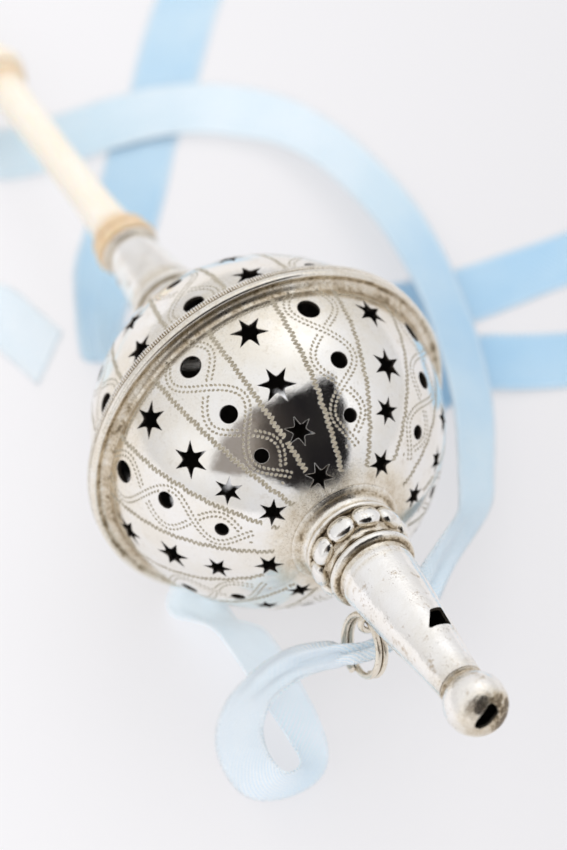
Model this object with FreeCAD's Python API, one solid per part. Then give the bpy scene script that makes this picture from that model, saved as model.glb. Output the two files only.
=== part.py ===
import FreeCAD, Part
import math
import os
from FreeCAD import Vector

# Silver rattle and whistle with a turned bone handle and a ribbon.  Millimetres.
# Each piece is drawn about the rattle's own axis: local Z runs towards the
# mouthpiece, local X is the upper side (longitude 0), origin at the ball's centre.
# It is then laid on the table: +X towards the mouthpiece, +Z up, same origin.
# "Front" is the whistle side of the ball, "rear" the handle side.
#
# Turned profiles are lists in the r-z half plane: (r, z) ends a straight line,
# (r, z, via_r, via_z) ends an arc that passes through the via point.

ORIGIN = Vector(0, 0, 0)
AXIS = Vector(0, 0, 1)
REST_TILT = 10.8         # axis tilt when lying on rim and end knob, degrees

# ---- ball ----
BALL_R = 22.0
BALL_WALL = 0.5
BALL_BORE_R = BALL_R - BALL_WALL
RIM_R = 24.1             # radius of the front flange and of the milled wire
RIM_BEVEL = 0.15
BAND_R = 23.72           # rear flange, carries the milled wire
POLE_HOLE_R = 4.6        # opening for the neck spigot
WIRE_TEETH, WIRE_TOOTH_DEPTH = 420, 0.09
WIRE_Z, WIRE_H = -0.92, 0.80

# ---- punched holes; latitudes are degrees from the rim ----
GORES = 8
STAR_LAT = (12.0, 31.9, 47.5, 63.5)
STAR_R = (2.35, 2.35, 1.85, 1.85)        # tip radius
STAR_TURN = (-26.0, -26.0, 23.0, 23.0)   # punch orientation
STAR_WAIST = 0.44                        # inner radius over tip radius
STAR_FLANK = STAR_WAIST * 1.14           # the same, either side of the waist
DISC_LAT = (10.6, 30.6, 48.4)
DISC_R = (1.42, 1.12, 0.90)
FRONT_STAR_LON = 6.75                    # star column of gore 0
REAR_STAR_LON = -6.2

# holes punched off the regular grid: (row, gore) -> (latitude, longitude)
FRONT_STAR_AT = {
    (0, -1): (12.8, -37.8), (1, -1): (32.6, -38.7), (2, -1): (47.7, -37.5), (3, -1): (64.2, -39.5),
    (0, 0): (12.9, 7.5), (1, 0): (32.7, 8.9), (2, 0): (48.7, 10.1), (3, 0): (64.4, 12.1),
    (0, 1): (12.1, 50.7), (1, 1): (31.4, 51.8), (2, 1): (46.5, 53.7), (3, 1): (61.9, 53.1),
    (0, 2): (12.0, 96.5), (1, 2): (31.2, 96.6), (2, 2): (46.8, 99.4), (3, 2): (63.5, 99.6),
    (2, -2): (46.3, -88.5), (3, -2): (62.5, -91.0)}
FRONT_DISC_AT = {
    (0, 0): (11.1, 29.1), (1, 0): (31.6, 29.5), (2, 0): (47.9, 31.2),
    (0, -1): (11.7, -14.3), (1, -1): (31.5, -17.3), (2, -1): (49.3, -16.4),
    (0, 1): (10.1, 72.5), (1, 1): (28.9, 71.5), (2, 1): (48.9, 74.1),
    (0, -2): (11.0, -60.0), (1, -2): (30.7, -60.6), (2, -2): (49.2, -61.8),
    (1, 2): (27.9, 120.4), (2, 2): (45.5, 125.0)}
REAR_STAR_AT = {
    (0, 1): (10.2, 38.9), (0, 0): (11.6, -4.7), (1, 1): (30.6, 37.6), (1, 0): (32.6, -7.2),
    (1, 4): (35.5, 178.8), (1, -3): (30.2, -138.2)}
REAR_DISC_AT = {
    (0, 1): (10.8, 61.0), (0, 0): (10.0, 16.2), (1, 0): (32.6, 16.4), (0, -3): (8.6, -121.6)}

# ---- collars, drawn on the front and mirrored to the rear ----
SPIGOT_R = POLE_HOLE_R - 0.03
SPIGOT_Z = 20.3
NECK_FOOT_R = 7.1
SLEEVE_R, SLEEVE_BORE = 4.3, 3.5
INNER_RING_Z0, BEAD_BAND_Z0, OUTER_RING_Z0 = 22.4, 23.5, 27.5   # ball ends of the bands
INNER_RING_Z, INNER_RING_R = 22.95, 6.1                         # crests of the rings
OUTER_RING_Z, OUTER_RING_R = 28.15, 5.55
TUBE_Z0 = 28.8                           # collar ends, tube or ferrule begins
BEADS, BEAD_Z, BEAD_R, BEAD_TURN = 10, 24.9, 6.45, -12.0
BEAD_SIZE = (1.15, 1.85, 1.50)           # half sizes: outward, round, along

# ---- whistle ----
TUBE_PROFILE = ((4.75, TUBE_Z0), (4.68, 30.5), (4.20, 36.0), (3.58, 42.0), (2.74, 50.0))
TUBE_WALL = 0.45
DISC_Z0, DISC_Z1 = 31.2, 31.8
FIPPLE_Z0, FIPPLE_Z1 = 43.1, 49.8
WINDWAY_DEPTH, WINDWAY_HALF_W = 0.75, 3.5
WINDOW_LON = -28.0
# outline of the hand-cut opening: (across, along the tube)
WINDOW = (
    (-1.42, 40.35), (-1.22, 40.20), (0.50, 40.72), (0.72, 40.95), (1.78, 43.05),
    (1.62, 43.30), (0.2, 43.20), (-1.15, 42.98), (-1.32, 42.80))

KNOB_Z, KNOB_R, KNOB_WALL = 53.45, 3.8, 0.5
KNOB_MOUTH_R = 2.2
SLOT_FACING = (1.15, 0.42, 3.55)         # direction the knob's slot opens in
SLOT_LENGTHWISE = (-0.62, 0.78, 0)
# outline of the slot: (lengthwise, across)
SLOT = (
    (-1.70, -0.45), (-1.1, -0.85), (0.2, -0.80), (1.2, -0.62), (1.75, -0.20),
    (1.55, 0.42), (0.6, 0.82), (-0.5, 0.88), (-1.25, 0.95), (-1.62, 0.42))

# ---- lug and split ring ----
LUG_LON, LUG_Z, LUG_EYE_R = 159.0, 30.9, 5.65    # eye centre
LUG_MAJOR, LUG_MINOR, LUG_BORE_R = 1.40, 0.42, 1.02
LUG_TRIM_Z0, LUG_TRIM_Z1 = 27.0, 45.0            # length of tube that trims the lug
RING_LEAN = 162.0                                # longitude from the eye to the ring centre
RING_MEAN_R, RING_WIRE_R, RING_PITCH = 3.725, 0.41, 0.84
RING_TURNS, RING_STEPS = 1.94, 24

# ---- handle ----
FERRULE_END_Z = -41.0
BONE_RING_END_Z = -44.8
TENON_R, TENON_TIP_R = 2.85, 2.1
SHAFT_END_Z, SHAFT_END_R = -101.6, 2.45
PEG_R, PEG_END_Z = 1.4, -104.2                   # shaft tip inside the end knob
END_KNOB_Z, END_KNOB_R = -105.0, 3.98
PIN_Z, PIN_R, PIN_HALF = -36.0, 0.5, 4.02

PELLET_R, PELLET_GAP = 1.6, 0.08
PELLET_Z = (-7.6, -3.0, 1.6, 6.2)

# ---- ribbon, in the table frame ----
RIBBON_T = 0.26
# stations along its length: left edge x, y, z, right edge x, y, z
RIBBON = [
    (-99.03,46.18,-23.42, -103.37,37.61,-23.42), (-94.83,41.86,-23.42, -99.17,33.30,-23.42),
    (-90.43,37.79,-23.42, -94.77,29.23,-23.42), (-85.76,33.98,-23.42, -90.15,25.45,-23.42),
    (-81.06,30.41,-23.42, -85.26,21.78,-23.42), (-76.48,27.01,-23.42, -80.11,18.13,-23.42),
    (-72.00,23.26,-23.42, -75.35,14.23,-23.42), (-67.35,19.30,-23.42, -70.88,10.37,-23.42),
    (-62.02,15.64,-23.42, -66.66,7.27,-23.42), (-56.90,11.88,-23.42, -62.17,3.84,-23.42),
    (-51.98,7.92,-23.28, -57.78,0.23,-23.42), (-47.62,4.41,-22.73, -54.23,-2.45,-23.42),
    (-44.08,1.43,-22.11, -51.02,-4.08,-23.42), (-40.77,-0.98,-21.38, -47.80,-5.37,-23.42),
    (-37.28,-2.80,-20.45, -44.14,-6.76,-23.42), (-34.64,-3.91,-19.70, -41.30,-7.76,-23.42),
    (-33.06,-4.42,-19.32, -39.74,-8.24,-23.42), (-32.02,-4.59,-19.18, -38.83,-8.41,-23.42),
    (-31.26,-4.44,-19.25, -38.30,-8.25,-23.42), (-30.62,-3.95,-19.53, -37.95,-7.75,-23.42),
    (-30.05,-3.08,-20.01, -37.67,-6.87,-23.42), (-29.47,-1.67,-20.76, -37.43,-5.42,-23.42),
    (-28.81,0.48,-21.79, -37.16,-3.18,-23.42), (-28.02,3.52,-22.93, -36.81,0.10,-23.42),
    (-27.03,6.97,-23.40, -36.22,4.23,-23.42), (-25.89,10.71,-23.42, -35.36,9.46,-23.42),
    (-24.82,15.24,-23.42, -34.40,15.55,-23.42), (-24.02,21.12,-23.42, -33.64,21.55,-23.42),
    (-23.28,27.29,-23.42, -32.89,27.32,-23.42), (-21.95,32.95,-23.42, -31.59,33.39,-23.42),
    (-20.69,38.05,-23.42, -30.26,39.25,-23.42), (-20.34,42.82,-23.42, -29.65,44.94,-23.42),
    (-20.27,48.16,-23.42, -29.25,51.58,-23.42), (-20.35,53.21,-23.42, -28.83,58.10,-23.42),
    (-20.14,57.72,-23.38, -28.74,61.36,-23.38), (-19.37,61.83,-23.24, -28.72,63.35,-23.24),
    (-18.62,64.65,-23.12, -28.26,66.16,-23.12), (-18.02,66.54,-23.02, -27.29,69.24,-23.02),
    (-17.50,67.79,-22.94, -26.19,71.79,-22.94), (-17.02,68.59,-22.89, -25.09,73.67,-22.89),
    (-16.53,69.12,-22.84, -23.94,75.05,-22.84), (-15.97,69.47,-22.80, -22.58,76.04,-22.80),
    (-15.33,69.73,-22.76, -20.87,76.86,-22.76), (-14.58,69.94,-22.72, -18.72,77.58,-22.72),
    (-13.78,70.12,-22.69, -16.30,78.23,-22.69), (-12.99,70.27,-22.66, -13.83,78.75,-22.66),
    (-12.26,70.36,-22.64, -11.55,79.13,-22.64), (-11.64,70.40,-22.63, -9.64,79.32,-22.63),
    (-11.11,70.34,-22.63, -8.02,79.26,-22.63), (-10.62,70.13,-22.64, -6.56,78.88,-22.64),
    (-10.16,69.70,-22.67, -5.18,78.09,-22.67), (-9.70,69.04,-22.71, -3.85,76.86,-22.71),
    (-9.25,68.17,-22.76, -2.52,75.25,-22.76), (-8.81,67.08,-22.82, -1.25,73.24,-22.82),
    (-8.44,65.84,-22.89, -0.16,70.96,-22.89), (-8.19,64.54,-22.96, 0.57,68.60,-22.96),
    (-8.12,63.26,-23.03, 0.87,66.31,-23.03), (-8.27,61.98,-23.09, 0.74,63.97,-23.09),
    (-8.70,60.57,-23.16, 0.24,61.37,-23.16), (-9.44,58.91,-23.24, -0.63,58.32,-23.24),
    (-10.59,56.82,-23.32, -1.95,54.61,-23.32), (-12.11,54.02,-23.39, -3.68,50.15,-23.39),
    (-13.80,50.02,-23.30, -5.48,45.12,-23.30), (-15.59,45.28,-22.92, -7.14,40.71,-22.92),
    (-17.22,41.79,-22.77, -8.40,38.00,-22.77), (-17.89,38.68,-22.73, -8.87,35.50,-22.73),
    (-17.75,34.51,-22.81, -8.67,31.68,-22.81), (-17.08,28.52,-23.02, -7.89,25.76,-23.02),
    (-15.47,22.91,-23.25, -6.34,19.90,-23.25), (-13.27,17.42,-23.41, -4.27,14.05,-23.41),
    (-11.51,11.70,-23.42, -2.55,8.26,-23.42), (-9.73,6.04,-23.42, -0.82,2.40,-23.42),
    (-7.91,1.70,-23.42, 0.82,-3.64,-23.42), (-6.49,-1.12,-23.42, 2.02,-7.20,-23.42),
    (-5.28,-3.40,-23.42, 3.03,-8.57,-23.41), (-4.15,-5.60,-23.40, 4.02,-8.95,-23.38),
    (-3.03,-7.84,-23.38, 5.03,-9.05,-23.32), (-1.91,-10.00,-23.33, 6.04,-9.08,-23.24),
    (-0.75,-12.04,-23.27, 7.01,-9.11,-23.15), (0.49,-13.87,-23.20, 7.95,-9.13,-23.07),
    (1.81,-15.26,-23.08, 8.75,-9.14,-23.00), (3.21,-16.11,-22.84, 9.40,-9.09,-22.97),
    (4.72,-16.37,-22.32, 9.87,-8.93,-22.98), (6.39,-16.06,-21.32, 10.19,-8.56,-23.06),
    (8.18,-15.43,-19.96, 10.43,-8.01,-23.17), (9.97,-14.74,-18.64, 10.70,-7.43,-23.29),
    (11.67,-14.19,-17.72, 11.10,-6.95,-23.37), (13.39,-13.84,-17.31, 11.93,-6.61,-23.41),
    (15.46,-13.61,-17.22, 13.74,-6.34,-23.42), (18.99,-13.41,-17.24, 17.87,-6.13,-23.42),
    (25.03,-13.31,-17.02, 23.75,-6.28,-23.42), (29.23,-13.35,-16.50, 28.28,-6.79,-23.42),
    (31.73,-13.44,-15.95, 30.95,-7.49,-23.42), (33.58,-13.51,-15.46, 32.63,-8.28,-23.42),
    (34.99,-13.61,-15.06, 33.75,-9.15,-23.42), (36.10,-13.84,-14.73, 34.57,-10.24,-23.42),
    (36.96,-14.27,-14.45, 35.13,-11.61,-23.42), (37.47,-14.94,-14.28, 35.41,-13.26,-23.42),
    (37.58,-15.68,-14.20, 35.37,-15.02,-23.42), (37.32,-16.31,-14.22, 35.01,-16.74,-23.42),
    (36.68,-16.69,-14.35, 34.32,-18.29,-23.42), (35.70,-16.81,-14.59, 33.28,-19.43,-23.42),
    (34.62,-16.81,-14.90, 31.98,-20.11,-23.42), (33.57,-16.72,-15.24, 30.49,-20.39,-23.42),
    (32.50,-16.54,-15.58, 28.81,-20.43,-23.42), (31.37,-16.27,-15.90, 27.08,-20.29,-23.42),
    (30.26,-15.93,-16.14, 25.49,-19.96,-23.40), (29.34,-15.52,-16.19, 24.18,-19.44,-23.26),
    (28.68,-15.08,-15.93, 23.13,-18.81,-22.87), (28.25,-14.59,-15.28, 22.33,-18.09,-22.08),
    (28.01,-13.99,-14.24, 21.78,-17.20,-20.82), (27.89,-13.19,-13.07, 21.44,-16.11,-19.32),
    (27.88,-12.06,-11.97, 21.34,-14.74,-17.64), (27.96,-10.72,-11.03, 21.43,-13.27,-15.81),
    (28.24,-9.39,-10.32, 21.92,-11.91,-13.88), (28.73,-8.27,-9.67, 22.79,-10.67,-11.98),
    (29.42,-7.48,-8.86, 23.87,-9.49,-10.21), (30.29,-6.98,-7.83, 25.14,-8.38,-8.55),
    (31.11,-6.69,-6.75, 26.34,-7.57,-7.12), (31.78,-6.53,-5.74, 27.36,-7.09,-5.91),
    (32.41,-6.39,-4.68, 28.40,-6.69,-4.72), (32.93,-6.20,-3.77, 29.36,-6.29,-3.74),
    (33.24,-5.79,-3.27, 30.11,-5.73,-3.31), (33.37,-5.00,-3.22, 30.59,-4.93,-3.44),
    (33.41,-3.90,-3.40, 30.85,-3.91,-3.86), (33.43,-2.60,-3.54, 30.92,-2.77,-4.24),
    (33.38,-1.16,-3.58, 30.89,-1.66,-4.35), (33.19,0.38,-3.68, 30.78,-0.63,-4.14),
    (32.82,1.99,-3.91, 30.61,0.32,-3.62), (32.28,3.58,-4.27, 30.36,1.22,-2.94),
    (31.62,5.08,-4.70, 30.05,2.10,-2.31), (30.85,6.45,-5.18, 29.64,2.99,-1.82),
    (29.82,7.79,-5.78, 29.02,3.98,-1.49), (28.31,9.35,-6.57, 28.06,5.23,-1.28),
    (25.94,11.59,-7.61, 26.62,7.04,-1.33), (22.49,15.09,-8.99, 24.23,10.22,-1.76),
    (19.18,19.14,-10.31, 21.25,14.19,-2.64), (16.69,22.33,-10.91, 19.22,16.27,-4.04),
    (14.09,24.72,-11.55, 16.89,17.95,-5.33), (9.88,27.20,-12.78, 12.50,20.30,-6.65),
    (4.89,30.10,-14.09, 7.24,23.12,-7.93), (-0.24,32.84,-15.25, 1.87,25.69,-9.21),
    (-5.61,35.25,-16.33, -3.56,27.91,-10.50), (-11.26,37.28,-17.38, -9.03,29.83,-11.75),
    (-16.96,39.06,-18.35, -14.63,31.53,-12.87), (-22.76,40.61,-19.24, -20.28,32.97,-13.97),
    (-28.71,41.97,-20.01, -25.92,34.15,-15.18), (-34.78,42.87,-20.65, -31.59,34.92,-16.34),
    (-40.95,43.42,-21.21, -37.28,35.40,-17.44), (-47.08,43.32,-21.84, -43.06,35.31,-18.38),
    (-53.19,42.67,-22.41, -48.81,34.74,-19.24), (-58.33,41.70,-22.60, -53.35,33.92,-20.06),
    (-62.40,40.36,-22.67, -56.79,32.85,-20.77), (-65.63,38.85,-22.68, -59.47,31.63,-21.31),
    (-68.37,36.92,-22.56, -61.73,30.05,-21.76), (-71.06,34.24,-22.37, -63.91,27.86,-22.15),
    (-73.71,30.96,-22.34, -66.00,25.25,-22.37), (-75.97,27.47,-22.45, -67.75,22.51,-22.48),
    (-77.56,23.85,-22.51, -68.96,19.61,-22.52), (-78.73,19.50,-22.52, -69.83,15.92,-22.52),
    (-79.51,13.90,-22.53, -70.36,11.01,-22.53), (-79.88,7.61,-22.60, -70.57,5.29,-22.60),
    (-80.40,1.83,-22.75, -71.06,-0.35,-22.75), (-80.99,-1.19,-22.81, -71.73,-3.64,-22.81),
    (-81.93,-3.05,-22.82, -72.88,-6.03,-22.82), (-83.47,-4.59,-22.82, -74.84,-8.35,-22.82),
    (-85.48,-6.17,-22.82, -77.37,-10.80,-22.82), (-87.32,-7.80,-22.82, -79.54,-13.08,-22.82),
    (-88.52,-9.59,-22.82, -80.70,-15.02,-22.82), (-89.23,-11.87,-22.82, -81.10,-16.84,-22.82),
    (-89.76,-14.96,-22.82, -81.21,-18.67,-22.82), (-90.18,-18.54,-22.82, -81.28,-20.43,-22.82),
    (-90.46,-21.85,-22.82, -81.32,-21.92,-22.82), (-90.57,-24.50,-22.82, -81.32,-23.09,-22.82),
    (-90.41,-26.64,-22.82, -81.21,-24.06,-22.82), (-89.88,-28.59,-22.81, -80.91,-24.96,-22.81),
    (-88.92,-30.49,-22.80, -80.39,-25.83,-22.80), (-87.57,-32.35,-22.78, -79.65,-26.67,-22.78),
    (-85.93,-34.10,-22.77, -78.75,-27.45,-22.77), (-84.08,-35.60,-22.75, -77.75,-28.12,-22.75),
    (-82.14,-36.78,-22.73, -76.71,-28.64,-22.73), (-80.18,-37.48,-22.73, -75.68,-28.94,-22.73),
    (-78.13,-37.75,-22.73, -74.64,-29.04,-22.73), (-75.78,-37.70,-22.75, -73.52,-28.93,-22.75),
    (-72.95,-37.44,-22.80, -72.22,-28.64,-22.80), (-69.70,-37.01,-22.87, -70.70,-28.16,-22.87),
    (-66.36,-36.41,-22.96, -69.00,-27.52,-22.96), (-63.30,-35.54,-23.06, -67.07,-26.65,-23.06),
    (-60.34,-33.98,-23.19, -64.71,-25.18,-23.19), (-57.19,-31.33,-23.34, -61.85,-22.80,-23.34),
    (-54.30,-28.22,-23.42, -59.31,-20.03,-23.42), (-52.01,-24.72,-23.42, -57.57,-16.96,-23.42),
    (-50.21,-21.64,-23.42, -56.25,-14.28,-23.42), (-48.58,-19.67,-23.42, -54.97,-12.56,-23.42),
    (-46.54,-18.43,-23.42, -53.19,-11.48,-23.42), (-42.92,-17.34,-23.42, -49.71,-10.52,-23.42),
    (-37.08,-15.67,-23.42, -43.92,-8.94,-23.42),
]


# ---- helpers ----
def polar(r, z, lon):
    angle = math.radians(lon)
    return Vector(r * math.cos(angle), r * math.sin(angle), z)


def unit(vector):
    vector.normalize()
    return vector


def on_sphere(offset, radius):
    """Other coordinate of a point on a circle about the origin."""
    return math.sqrt(radius * radius - offset * offset)


def outward(solid):
    """Turn a solid whose faces point inwards the right way out."""
    if solid.Volume < 0:
        solid.reverse()
    return solid


def turned(profile):
    """Revolve a profile about Z, closing it with a straight line if it is open."""
    start = current = Vector(profile[0][0], 0, profile[0][1])
    edges = []
    for r, z, *via in profile[1:]:
        end = Vector(r, 0, z)
        if via:
            edges.append(Part.Arc(current, Vector(via[0], 0, via[1]), end).toShape())
        else:
            edges.append(Part.makeLine(current, end))
        current = end
    if (current - start).Length > 1e-7:
        edges.append(Part.makeLine(current, start))
    return outward(Part.Face(Part.Wire(edges)).revolve(ORIGIN, AXIS, 360))


def extruded(points, height):
    return Part.Face(Part.makePolygon(points + points[:1])).extrude(height)


def prism(outline, axis_u, axis_v, out, near, far, origin=ORIGIN):
    """Extrude a (u, v) outline along out, from near to far."""
    points = [origin + axis_u * u + axis_v * v + out * near for u, v in outline]
    return extruded(points, out * (far - near))


def mirrored(shape):
    return shape.mirror(ORIGIN, AXIS)


# ---- ball ----
def half_shell(flange):
    """Hemisphere on the front side; flange is its profile at the rim."""
    diagonal = math.sqrt(0.5)
    return turned([(BALL_BORE_R, 0.0)] + flange + [
        (23.2, 0.78), (21.93, on_sphere(21.93, BALL_R), 22.35, 0.97),
        (POLE_HOLE_R, on_sphere(POLE_HOLE_R, BALL_R), BALL_R * diagonal, BALL_R * diagonal),
        (POLE_HOLE_R, on_sphere(POLE_HOLE_R, BALL_BORE_R)),
        (BALL_BORE_R, 0.0, BALL_BORE_R * diagonal, BALL_BORE_R * diagonal)])


def star_outline(tip_r, turn):
    corners = ((0, 1), (0.30, STAR_FLANK), (0.5, STAR_WAIST), (0.70, STAR_FLANK))
    points = []
    for k in range(6):
        for fraction, reach in corners:
            angle = math.radians(turn + 60 * (k + fraction))
            points.append((tip_r * reach * math.cos(angle), tip_r * reach * math.sin(angle)))
    return points


def pierced(shell, side, star_lon, star_at, disc_at):
    """Punch all stars and round holes; side is 1 for front, -1 for rear."""
    def facing(lat, lon):
        angle = math.radians(lat * side)
        return polar(math.cos(angle), math.sin(angle), lon)

    pitch = 360.0 / GORES
    near, far = BALL_R - 4.0, BALL_R + 2.0
    cutters = []
    for gore in range(-GORES // 2 + 1, GORES // 2 + 1):
        lon = star_lon + pitch * gore
        for row, lat in enumerate(STAR_LAT):
            out = facing(*star_at.get((row, gore), (lat, lon)))
            east = unit(AXIS.cross(out))
            outline = star_outline(STAR_R[row], STAR_TURN[row] * side)
            cutters.append(prism(outline, east, out.cross(east), out, near, far))
        for row, lat in enumerate(DISC_LAT):
            out = facing(*disc_at.get((row, gore), (lat, lon + pitch / 2)))
            cutters.append(Part.makeCylinder(DISC_R[row], far - near, out * near, out))
    return shell.cut(cutters)


def front_shell():
    shell = half_shell([(RIM_R - RIM_BEVEL, 0.0), (RIM_R, RIM_BEVEL), (RIM_R, 0.55),
                        (23.55, 0.95, 23.97, 0.87)])
    return pierced(shell, 1, FRONT_STAR_LON, FRONT_STAR_AT, FRONT_DISC_AT)


def rear_shell():
    shell = mirrored(half_shell([(BAND_R, 0.0), (BAND_R, 0.9)]))
    return pierced(shell, -1, REAR_STAR_LON, REAR_STAR_AT, REAR_DISC_AT)


def milled_band():
    """Toothed wire round the rear flange, beside the seam."""
    points = []
    for k in range(WIRE_TEETH):
        for step, r in ((0.0, RIM_R - WIRE_TOOTH_DEPTH), (0.5, RIM_R)):
            points.append(polar(r, WIRE_Z, 360.0 * (k + step) / WIRE_TEETH))
    band = extruded(points, AXIS * WIRE_H)
    return band.cut(Part.makeCylinder(BAND_R, 3, Vector(0, 0, -2)))


# ---- collars ----
def neck():
    foot_z = on_sphere(NECK_FOOT_R, BALL_R)
    body = turned([
        (SLEEVE_BORE, SPIGOT_Z), (SPIGOT_R, SPIGOT_Z), (SPIGOT_R, on_sphere(SPIGOT_R, BALL_R)),
        (NECK_FOOT_R, foot_z, 5.9, on_sphere(5.9, BALL_R)), (NECK_FOOT_R, foot_z + 0.18),
        (5.55, INNER_RING_Z0, 6.02, 21.55), (SLEEVE_R, INNER_RING_Z0), (SLEEVE_R, TUBE_Z0),
        (4.15, TUBE_Z0), (4.15, 29.9), (SLEEVE_BORE, 29.9)])
    # seat the foot on the ball, leaving the spigot in the pole hole
    return body.cut(Part.makeSphere(BALL_R).cut(Part.makeCylinder(POLE_HOLE_R, 50, ORIGIN)))


def half_round_ring(z0, z1, edge_r, crest_r, crest_z):
    return turned([(SLEEVE_R, z0), (edge_r, z0), (edge_r, z1, crest_r, crest_z), (SLEEVE_R, z1)])


def bead_band():
    band = turned([
        (SLEEVE_R, BEAD_BAND_Z0), (5.35, BEAD_BAND_Z0), (5.35, 26.0, 5.15, 24.8),
        (5.3, OUTER_RING_Z0, 4.75, 26.7), (SLEEVE_R, OUTER_RING_Z0)])
    stretch = FreeCAD.Matrix()
    stretch.scale(Vector(*BEAD_SIZE))
    beads = []
    for k in range(BEADS):
        bead = Part.makeSphere(1.0).transformGeometry(stretch)
        bead.translate(Vector(BEAD_R - BEAD_SIZE[0], 0, BEAD_Z))
        bead.rotate(ORIGIN, AXIS, BEAD_TURN + 360.0 * k / BEADS)
        beads.append(bead)
    # trim the beads flush with the inner ring and clear of the sleeve
    below = Vector(0, 0, BEAD_BAND_Z0 - 5)
    return band.fuse(beads).cut([Part.makeCylinder(20, 5, below),
                                 Part.makeCylinder(SLEEVE_R, 12, below)])


# ---- whistle ----
WINDOW_OUT = polar(1, 0, WINDOW_LON)
WINDOW_ACROSS = AXIS.cross(WINDOW_OUT)


def tube_r(at_z):
    for (r0, z0), (r1, z1) in zip(TUBE_PROFILE, TUBE_PROFILE[1:]):
        if at_z <= z1:
            return r0 + (r1 - r0) * (at_z - z0) / (z1 - z0)


def bore_r(z):
    return tube_r(z) - TUBE_WALL


def whistle_tube():
    inner = [(r - TUBE_WALL, z) for r, z in reversed(TUBE_PROFILE)]
    tube = turned(list(TUBE_PROFILE) + inner)
    return tube.cut(prism(WINDOW, WINDOW_ACROSS, AXIS, WINDOW_OUT, 1.2, 8.0))


def bore_plug(z0, z1):
    return turned([(0, z0), (bore_r(z0), z0), (bore_r(z1), z1), (0, z1)])


def fipple_block():
    """Plug with a flat windway on the window side."""
    half, z0, z1 = WINDWAY_HALF_W, 42.0, 50.5
    outline = [(-half, z0), (half, z0), (half, z1), (-half, z1)]
    flat = bore_r(FIPPLE_Z1) - WINDWAY_DEPTH
    windway = prism(outline, WINDOW_ACROSS, AXIS, WINDOW_OUT, flat, 8.0)
    return bore_plug(FIPPLE_Z0, FIPPLE_Z1).cut(windway)


def mouth_knob():
    """Hollow ball with a short collar, open to the tube and slotted at the tip."""
    centre = Vector(0, 0, KNOB_Z)
    collar = turned([(KNOB_MOUTH_R, 50.0), (2.72, 50.0), (2.72, 50.7), (KNOB_MOUTH_R, 50.9)])
    knob = Part.makeSphere(KNOB_R, centre).fuse(collar)
    knob = knob.cut(Part.makeSphere(KNOB_R - KNOB_WALL, centre))
    knob = knob.cut(Part.makeCylinder(KNOB_MOUTH_R, 3.2, Vector(0, 0, 48.3)))
    out = unit(Vector(*SLOT_FACING))
    lengthwise = Vector(*SLOT_LENGTHWISE)
    lengthwise = unit(lengthwise - out * lengthwise.dot(out))
    return knob.cut(prism(SLOT, lengthwise, out.cross(lengthwise), out, 1.0, 6.0, centre))


# ---- lug and split ring ----
LUG_EYE = polar(LUG_EYE_R, LUG_Z, LUG_LON)


def ring_lug():
    torus = Part.makeTorus(LUG_MAJOR, LUG_MINOR, LUG_EYE, AXIS)
    side = [(r, z) for r, z in reversed(TUBE_PROFILE) if z < LUG_TRIM_Z1]
    tube = turned([(0, LUG_TRIM_Z0), (0, LUG_TRIM_Z1), (tube_r(LUG_TRIM_Z1), LUG_TRIM_Z1)]
                  + side + [(TUBE_PROFILE[0][0], LUG_TRIM_Z0)])
    lug = max(torus.cut(tube).Solids, key=lambda solid: solid.Volume)
    return lug.cut(Part.makeCylinder(LUG_BORE_R, 3.0, LUG_EYE - AXIS * 1.5))


def suspension_ring():
    """Nearly two turns of wire, lofted as a helix and hung in the lug's eye."""
    sections = []
    for k in range(RING_STEPS + 1):
        turn = RING_TURNS * k / RING_STEPS
        angle = 2 * math.pi * turn
        cosine, sine = math.cos(angle), math.sin(angle)
        centre = Vector(RING_MEAN_R * cosine, RING_MEAN_R * sine,
                        RING_PITCH * (turn - RING_TURNS / 2))
        along = Vector(-RING_MEAN_R * sine, RING_MEAN_R * cosine, RING_PITCH / (2 * math.pi))
        circle = Part.Circle(centre, along, RING_WIRE_R)
        circle.XAxis = Vector(cosine, sine, 0)
        sections.append(Part.Wire(circle.toShape()))
    ring = Part.makeLoft(sections, True, False).Solids[0]
    away = polar(1, 0, RING_LEAN)
    normal = AXIS.cross(away)
    third = normal.cross(away)
    centre = LUG_EYE + away * RING_MEAN_R
    ring.Placement = FreeCAD.Placement(FreeCAD.Matrix(
        away.x, third.x, normal.x, centre.x,
        away.y, third.y, normal.y, centre.y,
        away.z, third.z, normal.z, centre.z,
        0, 0, 0, 1))
    return ring


# ---- handle ----
def pin_rod(half_length):
    return Part.makeCylinder(PIN_R, 2 * half_length, Vector(0, -half_length, PIN_Z),
                             Vector(0, 1, 0))


def ferrule():
    end = FERRULE_END_Z
    return turned([
        (4.75, -TUBE_Z0), (4.6, -30.5), (3.42, -40.2), (3.75, -40.5), (3.75, end, 3.95, -40.75),
        (2.9, end), (2.9, -40.0), (4.1, -30.5), (4.25, -TUBE_Z0)]).cut(pin_rod(10))


def bone_ring():
    z0, z1 = FERRULE_END_Z, BONE_RING_END_Z
    return turned([
        (TENON_TIP_R, z0), (3.2, z0), (3.7, -41.35), (3.7, -43.0, 4.3, -42.15), (3.45, -43.2),
        (3.7, -43.45), (3.35, z1, 3.95, -44.2), (TENON_TIP_R, z1)])


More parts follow.
